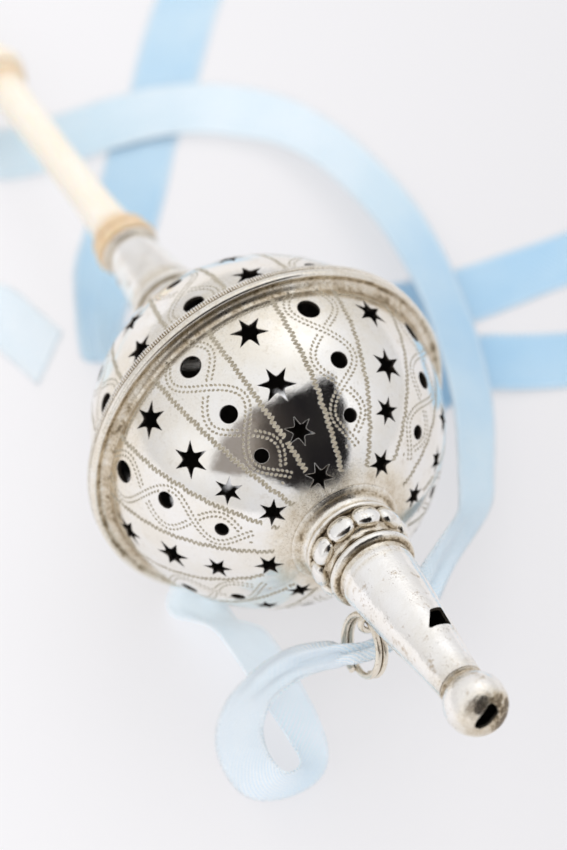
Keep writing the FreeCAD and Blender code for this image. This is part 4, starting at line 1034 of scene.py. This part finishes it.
foot_z = on_sphere(NECK_FOOT_R, BALL_R)
neck_items = [
    (SLEEVE_BORE, 20.3), (POLE_HOLE_R - 0.03, 20.3), (POLE_HOLE_R - 0.03, on_sphere(POLE_HOLE_R - 0.03, BALL_R)),
    (NECK_FOOT_R, foot_z, 5.9, on_sphere(5.9, BALL_R), 8), (NECK_FOOT_R, foot_z + 0.10),
    (NECK_FOOT_R - 0.08, foot_z + 0.17), (6.46, 21.28, 6.74, 21.12, 8), (6.34, 21.30), (6.20, 21.42),
    (5.72, 22.1, 5.90, 21.74, 10), (5.60, 22.4), (SLEEVE_R, 22.4), (SLEEVE_R, TUBE_Z0), (4.15, TUBE_Z0),
    (4.15, 29.9), (SLEEVE_BORE, 29.9)]
inner_ring_items = [(SLEEVE_R, 22.4), (5.6, 22.4), (5.6, 23.5, 6.1, 22.95, 18), (SLEEVE_R, 23.5)]
bead_band_items = [(SLEEVE_R, 23.5), (5.35, 23.5), (5.35, 26.0, 5.15, 24.8, 12), (5.3, 27.5, 4.75, 26.7, 16),
                   (SLEEVE_R, 27.5)]
outer_ring_items = [(SLEEVE_R, 27.5), (4.95, 27.5), (4.95, TUBE_Z0, 5.55, 28.15, 18), (SLEEVE_R, TUBE_Z0)]


def bead_mesh(side):
    verts, faces = [], []
    nu, nv = 36, 24
    for k in range(BEADS):
        rng = np.random.default_rng(100 + k + 50 * (side < 0))
        a0 = rad(BEAD_TURN + 360.0 * k / BEADS) + rng.normal(0, 0.006)
        s = np.array(BEAD_SIZE) * (1 + rng.normal(0, 0.012, 3))
        b = len(verts)
        for i in range(nv + 1):
            t = math.pi * i / nv
            for j in range(nu):
                p = 2 * math.pi * j / nu
                d = np.array((math.sin(t) * math.cos(p), math.sin(t) * math.sin(p), math.cos(t)))
                e = 2.35                                   # a little squarer than an ellipsoid
                q = d / (np.abs(d) ** e).sum() ** (1 / e)
                q = q * 0.965 * s
                x, y, z = q[0] + BEAD_R - BEAD_SIZE[0], q[1], q[2] + BEAD_Z
                z = max(z, 23.45)
                verts.append((x * math.cos(a0) - y * math.sin(a0), x * math.sin(a0) + y * math.cos(a0), z * side))
        block = []
        for i in range(nv):
            for j in range(nu):
                m = (j + 1) % nu
                block.append((b + i * nu + j, b + i * nu + m, b + (i + 1) * nu + m, b + (i + 1) * nu + j))
        faces += block
    return verts, outward(verts, faces)


for side, tag in ((1, "front"), (-1, "rear")):
    for items, part, mats in ((neck_items, "neck", [M_COLLAR]), (inner_ring_items, "inner_ring", [M_COLLAR]),
                              (outer_ring_items, "outer_ring", [M_COLLAR])):
        ob = turned("%s_%s_skin" % (tag, part), items, mats, 200, tarnish=collar_tarnish, flip=side < 0, n=14)
        keep(ob, "rattle", "silver", "%s_%s" % (tag, part))
    ob = turned("%s_bead_band_skin" % tag, bead_band_items, [M_COLLAR], 200, tarnish=collar_tarnish, flip=side < 0)
    keep(ob, "rattle", "silver", "%s_bead_band" % tag)
    v, f = bead_mesh(side)
    ob = free_mesh("%s_beads" % tag, v, f, [M_COLLAR],
                   lambda v: np.clip((5.9 - np.hypot(v[:, 0], v[:, 1])) * 1.4, 0.04, 0.9), 60)
    keep(ob, "rattle", "silver")

# ---- whistle ------------------------------------------------------------
d = cyl_pt(1, 0, WINDOW_LON)
t = np.cross((0, 0, 1.0), d)
win_pts = [(-1.42, 40.35), (-1.36, 40.22), (-1.22, 40.17), (-0.4, 40.42), (0.50, 40.70), (0.66, 40.80), (0.76, 40.98),
           (1.30, 42.05), (1.80, 43.02), (1.80, 43.20), (1.62, 43.33), (0.9, 43.24), (0.2, 43.22), (-0.5, 43.12),
           (-1.15, 43.00), (-1.29, 42.93), (-1.34, 42.78), (-1.37, 41.6)]
window = solid_from("window_cut", [prism_geo(win_pts, np.zeros(3), t, np.array((0, 0, 1.0)), d, 1.2, 8.0)])


def smooth_r(z):
    """The tube's radius with its corners eased."""
    return sum(w * tube_r(TUBE_PROFILE, min(50.0, max(30.5, z + d))) for d, w in
               ((-1.6, 0.15), (-0.8, 0.2), (0, 0.3), (0.8, 0.2), (1.6, 0.15)))


fine_outer = [(4.75, 28.8), (4.78, 29.0), (4.72, 29.25), (4.66, 29.5), (4.69, 29.75), (4.69, 30.2), (4.66, 30.6)]
zz = np.linspace(31.0, 50.0, 60)
fine_outer += [(smooth_r(z), z) for z in zz]
inner = [(r - TUBE_WALL, z) for z, r in reversed(TUBE_PROFILE)]


def tube_tarnish(rho, z):
    return np.clip(0.03 + 0.60 * bump_at(z, 29.3, 0.40) + 0.25 * bump_at(z, 30.6, 0.35) + 0.22 * bump_at(z, 49.5, 1.2)
                   + 0.07 * bump_at(z, 44.0, 3.0), 0, 1)


def tube_classes(c, n, seg, on):
    out = np.zeros(len(c), int)
    rho = np.hypot(c[:, 0], c[:, 1])
    rn = (c[:, :2] * n[:, :2]).sum(1) / np.maximum(rho, 1e-9)
    out[~on] = 1
    out[on & (rn < -0.5)] = 2
    return out


ob = turned("whistle_tube_skin", fine_outer + inner, [M_TUBE, M_CUT, M_INSIDE], 200, [window], tube_classes,
            tube_tarnish)
keep(ob, "rattle", "silver", "whistle_tube")

# mouth knob with its worn slot
sd = unit((1.15, 0.42, 3.55))
sl = np.array((-0.62, 0.78, 0.0))
sl = unit(sl - sd * (sl @ sd))
sw = np.cross(sd, sl)
slot_pts = [(-1.70, -0.45), (-1.45, -0.70), (-1.1, -0.85), (-0.4, -0.80), (0.2, -0.80), (0.8, -0.74), (1.2, -0.62),
            (1.55, -0.42), (1.75, -0.20), (1.66, 0.10), (1.55, 0.42), (1.1, 0.60), (0.6, 0.82), (0.0, 0.84),
            (-0.5, 0.88), (-1.0, 0.96), (-1.25, 0.95), (-1.42, 0.66), (-1.62, 0.42), (-1.70, 0.0)]
slot = solid_from("slot_cut", [prism_geo(slot_pts, np.array((0, 0, KNOB_Z)), sl, sw, sd, 1.0, 6.0)])
z_neck = KNOB_Z - math.sqrt(KNOB_R ** 2 - 2.70 ** 2)
ki = KNOB_R - KNOB_WALL
zb = KNOB_Z - math.sqrt(ki ** 2 - 2.2 ** 2)
knob_items = [(2.2, 50.0), (2.62, 50.0), (2.74, 50.12), (2.74, 50.28), (2.66, 50.36), (2.60, 50.46, 2.61, 50.42, 3),
              (2.70, z_neck), (0, KNOB_Z + KNOB_R, KNOB_R, KNOB_Z, 48),
              (0, KNOB_Z + ki), (2.2, zb, ki, KNOB_Z, 24)]


def knob_tarnish(rho, z):
    r = np.hypot(rho, z - KNOB_Z)
    return np.clip(0.05 + 0.75 * bump_at(z, 50.4, 0.35) + 0.58 * np.clip((z - 54.4) / 2.2, 0, 1), 0, 1)


ob = turned("mouth_knob_skin", knob_items, [M_KNOB, M_CUT, M_INSIDE], 160, [slot], tube_classes, knob_tarnish)
keep(ob, "rattle", "silver", "mouth_knob")

for node, mat in (("whistle_disc", M_WOODLESS), ("fipple_block", M_WOODLESS), ("handle_pin", M_PIN)):
    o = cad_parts[node]
    o.data.materials.clear()
    o.data.materials.append(mat)


# ---- lug and split ring --------------------------------------------------
def wire_tube(centres, normals, radius, sides, closed):
    """A round wire along a line of points; normals lie across it."""
    c = np.asarray(centres, float)
    tan = np.gradient(c, axis=0) if not closed else np.roll(c, -1, 0) - np.roll(c, 1, 0)
    tan = unit(tan)
    nn = np.asarray(normals, float)
    nn = unit(nn - tan * (nn * tan).sum(1, keepdims=True))
    bb = np.cross(tan, nn)
    rr = np.broadcast_to(radius, len(c))
    verts = []
    for i in range(len(c)):
        for k in range(sides):
            a = 2 * math.pi * k / sides
            verts.append(c[i] + rr[i] * (nn[i] * math.cos(a) + bb[i] * math.sin(a)))
    faces = []
    m = len(c)
    for i in range(m if closed else m - 1):
        j = (i + 1) % m
        for k in range(sides):
            l = (k + 1) % sides
            faces.append((i * sides + k, i * sides + l, j * sides + l, j * sides + k))
    if not closed:
        faces.append(tuple(range(sides))[::-1])
        faces.append(tuple((m - 1) * sides + k for k in range(sides)))
    return verts, outward(verts, faces)


eye = cyl_pt(LUG_EYE_R, LUG_Z, LUG_LON)
ang = np.linspace(0, 2 * math.pi, 97)[:-1]
out_dir, across = cyl_pt(1, 0, LUG_LON), cyl_pt(1, 0, LUG_LON + 90)
pts = [eye + LUG_MAJOR * (out_dir * math.cos(a) + across * math.sin(a)) for a in ang]
nrm = [out_dir * math.cos(a) + across * math.sin(a) for a in ang]
v, f = wire_tube(pts, nrm, LUG_MINOR - 0.01, 28, True)
ob = free_mesh("ring_lug_skin", v, f, [M_RING], lambda v: np.clip((5.4 - np.hypot(v[:, 0], v[:, 1])) * 0.9, 0.12, 0.9), 60)
keep(ob, "rattle", "silver", "ring_lug")

down = cyl_pt(1, 0, RING_LEAN)
nrm_ring = np.cross((0, 0, 1.0), down)
cen = eye + down * RING_MEAN_R
ey = np.cross(nrm_ring, down)
th = np.linspace(0, 2 * math.pi * RING_TURNS, 300)
pts, nrm = [], []
for a in th:
    radial = down * math.cos(a) + ey * math.sin(a)
    pts.append(cen + RING_MEAN_R * radial + nrm_ring * RING_PITCH * (a / (2 * math.pi) - RING_TURNS / 2))
    nrm.append(radial)
v, f = wire_tube(pts, nrm, RING_WIRE_R, 26, False)
ob = free_mesh("suspension_ring_skin", v, f, [M_RING], lambda v: 0.22 + 0 * v[:, 0], 60)
keep(ob, "ring", "silver", "suspension_ring")

# ---- handle -------------------------------------------------------------
ferrule_items = [(4.75, -TUBE_Z0), (4.74, -29.2), (4.62, -29.5), (4.66, -29.8), (4.62, -30.4), (4.55, -30.55)]
ferrule_items += [(4.6 + (3.42 - 4.6) * (k / 24.0), -30.6 - 9.4 * (k / 24.0)) for k in range(1, 25)]
ferrule_items += [(3.46, -40.12), (3.70, -40.3), (3.80, -40.5, 3.78, -40.38, 4), (3.78, -41.0, 3.93, -40.76, 12), (2.9, -41.0),
                  (2.9, -40.0), (4.1, -30.5), (4.25, -TUBE_Z0)]


def ferrule_tarnish(rho, z):
    z = np.abs(z)
    return np.clip(0.07 + 0.7 * bump_at(z, 29.4, 0.3) + 0.4 * bump_at(z, 30.5, 0.2) + 0.75 * bump_at(z, 40.1, 0.3), 0, 1)


ob = turned("ferrule_skin", ferrule_items, [M_TUBE], 200, tarnish=ferrule_tarnish)
keep(ob, "rattle", "silver", "ferrule")

bone_ring_items = [(TENON_TIP_R, -41.0), (3.2, -41.0), (3.55, -41.15), (3.72, -41.4), (3.7, -43.0, 4.3, -42.15, 18), (3.45, -43.2),
                   (3.7, -43.45), (3.35, -44.8, 3.95, -44.2, 14), (TENON_TIP_R, -44.8)]
ob = turned("bone_ring_skin", bone_ring_items, [M_BONE_RING], 160,
            tarnish=lambda r, z: np.clip(0.35 + 0.5 * (r < 3.6), 0, 1))
keep(ob, "rattle", "bone_stained", "bone_ring")

shaft_items = [
    (0, -31.2), (TENON_R - 0.4, -31.2), (TENON_R, -31.7), (TENON_R, -41.0), (TENON_TIP_R, -41.0),
    (TENON_TIP_R, -44.8), (2.98, -44.8), (3.05, -44.95), (2.95, -45.3), (2.86, -45.9)]
for k in range(1, 13):
    z = -45.9 - (58.0 - 45.9) * k / 12
    shaft_items.append((float(np.interp(-z, [45.8, 50, 54, 58], [2.86, 2.64, 2.49, 2.42])), z))
shaft_items += [(2.40, -63.0), (2.42, -68.0), (2.46, -74.0), (2.53, -80.0), (2.62, -82.6), (2.85, -83.1), (3.1, -83.6),
                (3.1, -85.0, 3.6, -84.3, 12), (3.05, -85.15), (3.3, -85.3),
                (3.3, -88.3, 4.25, -86.8, 20), (3.0, -88.45), (3.1, -88.6), (3.1, -90.0, 3.6, -89.3, 12), (2.78, -90.25),
                (2.6, -90.6), (2.45, -93.0), (2.35, -96.0), (2.38, -99.0), (2.45, SHAFT_END_Z), (1.4, SHAFT_END_Z),
                (1.4, -104.2), (0, -104.2)]
ob = turned("handle_shaft_skin", shaft_items, [M_BONE], 160,
            tarnish=lambda r, z: np.clip(0.05 + 0.85 * bump_at(z, -45.0, 1.2) + 0.75 * bump_at(z, -83.4, 0.8)
                                         + 0.8 * bump_at(z, -85.2, 0.3) + 0.8 * bump_at(z, -88.5, 0.3)
                                         + 0.7 * bump_at(z, -90.4, 0.8) + 0.5 * bump_at(z, -101.4, 0.9), 0, 1))
keep(ob, "rattle", "bone", "handle_shaft")

zt = END_KNOB_Z + math.sqrt(END_KNOB_R ** 2 - 2.45 ** 2)
end_items = [(1.4, SHAFT_END_Z), (2.45, SHAFT_END_Z), (2.45, zt), (0, END_KNOB_Z - END_KNOB_R, END_KNOB_R, END_KNOB_Z, 48),
             (0, -104.2), (1.4, -104.2)]
ob = turned("end_knob_skin", end_items, [M_BONE], 160,
            tarnish=lambda r, z: np.clip(0.05 + 0.8 * bump_at(z, -101.8, 0.6) + 0.35 * bump_at(z, -108.9, 0.9), 0, 1))
keep(ob, "rattle", "bone", "end_knob")

# ---- pellets ------------------------------------------------------------
for k, z in enumerate(PELLET_Z):
    lo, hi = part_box("pellet_%d" % (k + 1))
    c = np.array(((lo.x + hi.x) / 2, (lo.y + hi.y) / 2, (lo.z + hi.z) / 2))
    nu, nv = 40, 24
    verts, faces = [], []
    rng = np.random.default_rng(7 + k)
    ph = rng.uniform(0, 6.28, 6)
    for i in range(nv + 1):
        tt = math.pi * i / nv
        for j in range(nu):
            p = 2 * math.pi * j / nu
            q = np.array((math.sin(tt) * math.cos(p), math.sin(tt) * math.sin(p), math.cos(tt)))
            w = 1 - 0.012 * (1 + math.sin(3 * q[0] + ph[0]) * math.sin(4 * q[1] + ph[1]) * math.sin(3 * q[2] + ph[2]))
            verts.append(c + q * PELLET_R * w * MM)
    for i in range(nv):
        for j in range(nu):
            m = (j + 1) % nu
            faces.append((i * nu + j, (i + 1) * nu + j, (i + 1) * nu + m, i * nu + m))
    ob = mesh_object("pellet_%d_skin" % (k + 1), verts, outward(verts, faces), True)
    ob.data.materials.append(M_PELLET)
    keep(ob, "pellet_" + "abcd"[k], "pellet", "pellet_%d" % (k + 1))


# ---- ribbon -------------------------------------------------------------
def smooth_line(pts, t_new):
    """Catmull-Rom through evenly numbered points."""
    n = len(pts)
    i = np.clip(np.floor(t_new).astype(int), 0, n - 2)
    f = (t_new - i)[:, None]
    p0, p1, p2, p3 = (pts[np.clip(i + k, 0, n - 1)] for k in (-1, 0, 1, 2))
    return 0.5 * (2 * p1 + (p2 - p0) * f + (2 * p0 - 5 * p1 + 4 * p2 - p3) * f ** 2
                  + (3 * p1 - p0 - 3 * p2 + p3) * f ** 3)


rib = np.array(RIBBON)
dense = np.linspace(0, len(rib) - 1, 4000)
E = smooth_line(rib, dense)
mid_line = (E[:, :3] + E[:, 3:]) / 2
run = np.r_[0, np.cumsum(np.linalg.norm(np.diff(mid_line, axis=0), axis=1))]
STEP = 0.7
NS = int(run[-1] / STEP)
at = np.interp(np.linspace(0, run[-1], NS + 1), run, dense)
E = smooth_line(rib, at)
s_at = np.linspace(0, run[-1], NS + 1)
P, Q = E[:, :3], E[:, 3:]
C, across = (P + Q) / 2, Q - P
wid = np.linalg.norm(across, axis=1)
across = across / wid[:, None]
tan = unit(np.gradient(C, axis=0))
nor = unit(np.cross(tan, across))
NA = 30
v01 = np.linspace(0, 1, NA + 1)
squeeze = np.clip(wid / (RIBBON_W - 0.15), 0, 1)
slope = np.sqrt(np.maximum(1 / squeeze ** 2 - 1, 0))
folds = 2.0
verts, weave = [], []
rng = np.random.default_rng(5)
ph = rng.uniform(0, 6.28, 8)
for i in range(NS + 1):
    amp = wid[i] / (4 * folds) * slope[i] * 0.55
    for v in v01:
        u = (v - 0.5) * wid[i]
        w = (v * folds + 0.13 * math.sin(s_at[i] * 0.21 + 3 * v)) % 1.0
        tri = 1 - abs((w * 2) - 1) * 2
        tri = math.sin(tri * math.pi / 2)
        lift = amp * tri
        lift += 0.035 * math.sin(s_at[i] * 0.33 + ph[0] + 4 * v) * (abs(v - 0.5) * 2) ** 2 * squeeze[i]
        verts.append((C[i] + across[i] * u + nor[i] * lift) * MM)
        weave.append((s_at[i], (v - 0.5) * RIBBON_W, abs(v - 0.5) * 2))
faces = [(i * (NA + 1) + k, i * (NA + 1) + k + 1, (i + 1) * (NA + 1) + k + 1, (i + 1) * (NA + 1) + k)
         for i in range(NS) for k in range(NA)]
ob = mesh_object("ribbon_cloth", verts, faces, True)
a = ob.data.attributes.new("weave", "FLOAT_VECTOR", "POINT")
a.data.foreach_set("vector", np.asarray(weave, dtype=np.float32).ravel())
ob.data.materials.append(M_RIBBON)
m = ob.modifiers.new("thickness", "SOLIDIFY")
m.thickness, m.offset = 0.17 * MM, 0.0
# painted light and shade: the ribbon's colour runs from deep blue where a strand lies in shade to nearly white where it
# catches the light
PAINTED_LIGHT_AT = (0, 48, 62, 80, 110, 140, 200, 225, 262, 272, 290, 298, 304, 309, 334, 339, 366, 386, 410, 424, 440, 455, 470,
           486, 520, 560, 580)
PAINTED_LIGHT = (0.30, 0.22, 0.14, 0.34, 0.15, 0.08, 0.04, 0.06, 0.8, 1.0, 1.0, 0.9, 0.75, 1.0, 1.0, 0.95, 0.70, 0.45, 0.12,
        0.25, 0.55, 0.85, 0.82, 0.50, 0.80, 0.97, 0.97)
painted_tone = np.interp(s_at, PAINTED_LIGHT_AT, PAINTED_LIGHT)
painted_light = ob.data.attributes.new("painted_light", "FLOAT", "POINT")
painted_light.data.foreach_set("value", np.repeat(painted_tone, NA + 1).astype(np.float32))
# the white table throws light up into the low strand under the ball
bounce = ob.data.attributes.new("bounce", "FLOAT", "POINT")
bounce.data.foreach_set("value", np.repeat(np.interp(
    s_at, (236, 252, 281, 291, 298, 306, 312), (0, 0.21, 0.22, 0.17, 0.13, 0.05, 0)), NA + 1).astype(np.float32))
keep(ob, "rattle", "ribbon", "ribbon")

# ---- stage: floor, light, reflections ------------------------------------
CAM = np.array((241.573, -120.194, 347.563))
RIGHT, UP, BACK = (np.array(x) for x in ((0.451909, 0.892064, 0.0), (-0.703653, 0.356463, 0.61466),
                                         (0.548316, -0.277771, 0.788792)))
FOCAL = 3556.0
scene = bpy.context.scene


def floor_material():
    """A pale sheet with soft light coming up through it."""
    m = Nodes("floor_sheet")
    pos = m.new("ShaderNodeNewGeometry").outputs["Position"]
    v = m.noise(3.0, 3, 0.5, vec=m.new("ShaderNodeTexCoord").outputs["Object"])
    across = m.new("ShaderNodeVectorMath", operation="DOT_PRODUCT")
    m.link(pos, across.inputs[0])
    across.inputs[1].default_value = [float(x) for x in RIGHT]
    level = m.math("SUBTRACT", FLOOR_GLOW, m.math("MULTIPLY", across.outputs["Value"], 1.1))
    level = m.math("MAXIMUM", m.math("MINIMUM", level, FLOOR_GLOW + 0.05), FLOOR_GLOW - 0.07)
    p = m.principled(Base_Color=m.mix(m.ramp(v, [(0.3, 0.0), (0.7, 1.0)]), (0.268, 0.262, 0.272), (0.282, 0.276, 0.284)),
                     Roughness=0.6, Specular_IOR_Level=0.2)
    p.inputs["Emission Color"].default_value = (0.99, 0.985, 1.0, 1)
    m.link(level, p.inputs["Emission Strength"])
    return m.mat


FLOOR_GLOW = 0.58
bpy.ops.mesh.primitive_plane_add(size=3.0, location=(0, 0, TABLE_Z))
floor = bpy.context.object
floor.name = "floor"
floor.data.materials.append(floor_material())


def glow(name, color, strength):
    m = Nodes(name)
    e = m.new("ShaderNodeEmission")
    e.inputs["Color"].default_value = (*color, 1)
    e.inputs["Strength"].default_value = strength
    m.link(e.outputs[0], m.out.inputs["Surface"])
    return m.mat


def card(name, corners, mat, shadows=False):
    """A reflector or a dark card: seen in reflections only."""
    ob = mesh_object(name, corners, [tuple(range(len(corners)))])
    ob.data.materials.append(mat)
    ob.visible_camera = False
    ob.visible_diffuse = False
    ob.visible_shadow = shadows
    ob.visible_transmission = False
    return ob


def dark_cloth():
    """A hanging dark cloth, lighter where it catches the tent's light."""
    m = Nodes("dark_cloth")
    pos = m.new("ShaderNodeNewGeometry").outputs["Position"]
    v = m.noise(7.0, 4, 0.65, vec=pos, stretch=(1.0, 1.0, 0.35))
    side = m.new("ShaderNodeVectorMath", operation="DOT_PRODUCT")
    m.link(pos, side.inputs[0])
    side.inputs[1].default_value = (-0.55, -0.8, -0.2)
    lit = m.math("ADD", m.math("MULTIPLY", side.outputs["Value"], 3.2), m.math("ADD", m.math("MULTIPLY", v, 0.9), 0.62))
    e = m.new("ShaderNodeEmission")
    m.link(m.ramp(lit, [(0.05, (0.012, 0.011, 0.012)), (0.50, (0.045, 0.038, 0.036)), (0.85, (0.15, 0.132, 0.12)), (1.25, (0.34, 0.31, 0.29))]),
           e.inputs["Color"])
    m.link(e.outputs[0], m.out.inputs["Surface"])
    return m.mat


DARK_CORNERS = [
    (0.28, -0.56, 0.21), (0.217, -0.447, 0.436), (0.191, -0.218, 0.595),
    (0.203, 0.073, 0.625), (0.144, 0.392, 0.51), (0.283, 0.404, 0.438),
    (0.493, 0.336, 0.282), (0.615, 0.223, 0.084), (0.645, -0.055, 0.131),
    (0.493, -0.338, 0.283)]
card("dark_card_a", DARK_CORNERS, dark_cloth())


def area(name, loc, target, size, power, color=(1, 1, 1), size_y=None, spread=math.pi):
    l = bpy.data.lights.new(name, "AREA")
    l.energy, l.color, l.size = power, color, size
    if size_y:
        l.shape, l.size_y = "RECTANGLE", size_y
    l.spread = spread
    o = bpy.data.objects.new(name, l)
    o.location = loc
    o.rotation_euler = (Vector(target) - Vector(loc)).to_track_quat("-Z", "Y").to_euler()
    scene.collection.objects.link(o)
    return o


key = area("key", (-0.50, 0.45, 0.85), (0, 0, 0), 0.8, 2.4, (1.0, 0.985, 0.96))
key.visible_glossy = False
fill = area("fill", (0.55, -0.65, 0.80), (0, 0, 0), 0.9, 3.0, (1.0, 0.99, 0.985))
fill.visible_glossy = False

world = bpy.data.worlds.new("tent")
world.use_nodes = True
scene.world = world
wt = world.node_tree
wt.nodes.clear()
out = wt.nodes.new("ShaderNodeOutputWorld")
bg = wt.nodes.new("ShaderNodeBackground")
geo = wt.nodes.new("ShaderNodeTexCoord")
sep = wt.nodes.new("ShaderNodeSeparateXYZ")
ramp = wt.nodes.new("ShaderNodeValToRGB")
wt.links.new(geo.outputs["Generated"], sep.inputs[0])
wt.links.new(sep.outputs["Z"], ramp.inputs["Fac"])
els = ramp.color_ramp.elements
els[0].position, els[0].color = 0.0, (0.74, 0.74, 0.76, 1)
els[1].position, els[1].color = 1.0, (0.93, 0.93, 0.94, 1)
e = els.new(0.30)
e.color = (0.80, 0.80, 0.82, 1)
col = ramp.outputs["Color"]
for direction, power, gain in (((-0.35, 0.45, 0.82), 14.0, 0.34), ((0.55, 0.55, 0.62), 26.0, 0.26), ((0.2, -0.9, 0.35), 18.0, 0.22)):
    dot = wt.nodes.new("ShaderNodeVectorMath")
    dot.operation = "DOT_PRODUCT"
    wt.links.new(geo.outputs["Generated"], dot.inputs[0])
    dot.inputs[1].default_value = [float(x) for x in unit(direction)]
    mx = wt.nodes.new("ShaderNodeMath")
    mx.operation = "MAXIMUM"
    mx.inputs[1].default_value = 0.0
    wt.links.new(dot.outputs["Value"], mx.inputs[0])
    pw = wt.nodes.new("ShaderNodeMath")
    pw.operation = "POWER"
    pw.inputs[1].default_value = power
    wt.links.new(mx.outputs[0], pw.inputs[0])
    ml = wt.nodes.new("ShaderNodeMath")
    ml.operation = "MULTIPLY"
    ml.inputs[1].default_value = gain
    wt.links.new(pw.outputs[0], ml.inputs[0])
    add = wt.nodes.new("ShaderNodeMix")
    add.data_type, add.blend_type = "RGBA", "ADD"
    add.inputs[0].default_value = 1.0
    wt.links.new(col, add.inputs[6])
    wt.links.new(ml.outputs[0], add.inputs[7])
    col = add.outputs[2]
wt.links.new(col, bg.inputs["Color"])
bg.inputs["Strength"].default_value = 1.0
wt.links.new(bg.outputs[0], out.inputs["Surface"])

cam = bpy.data.cameras.new("camera")
cam.sensor_fit = "VERTICAL"
cam.sensor_height = 36.0
cam.lens = FOCAL * 36.0 / 850.0
cam.clip_start, cam.clip_end = 0.01, 20
co = bpy.data.objects.new("camera", cam)
m = Matrix.Identity(4)
for c, vec in enumerate((RIGHT, UP, BACK, CAM * MM)):
    for r in range(3):
        m[r][c] = float(vec[r])
co.matrix_world = m
scene.collection.objects.link(co)
scene.camera = co
focus = bpy.data.objects.new("focus", None)
focus.location = Vector([float(x) for x in unit(BACK) * 25.0 * MM])
scene.collection.objects.link(focus)
cam.dof.use_dof = True
cam.dof.focus_object = focus
cam.dof.aperture_fstop = 17.0
scene.view_settings.view_transform = "Standard"
scene.view_settings.look = "None"
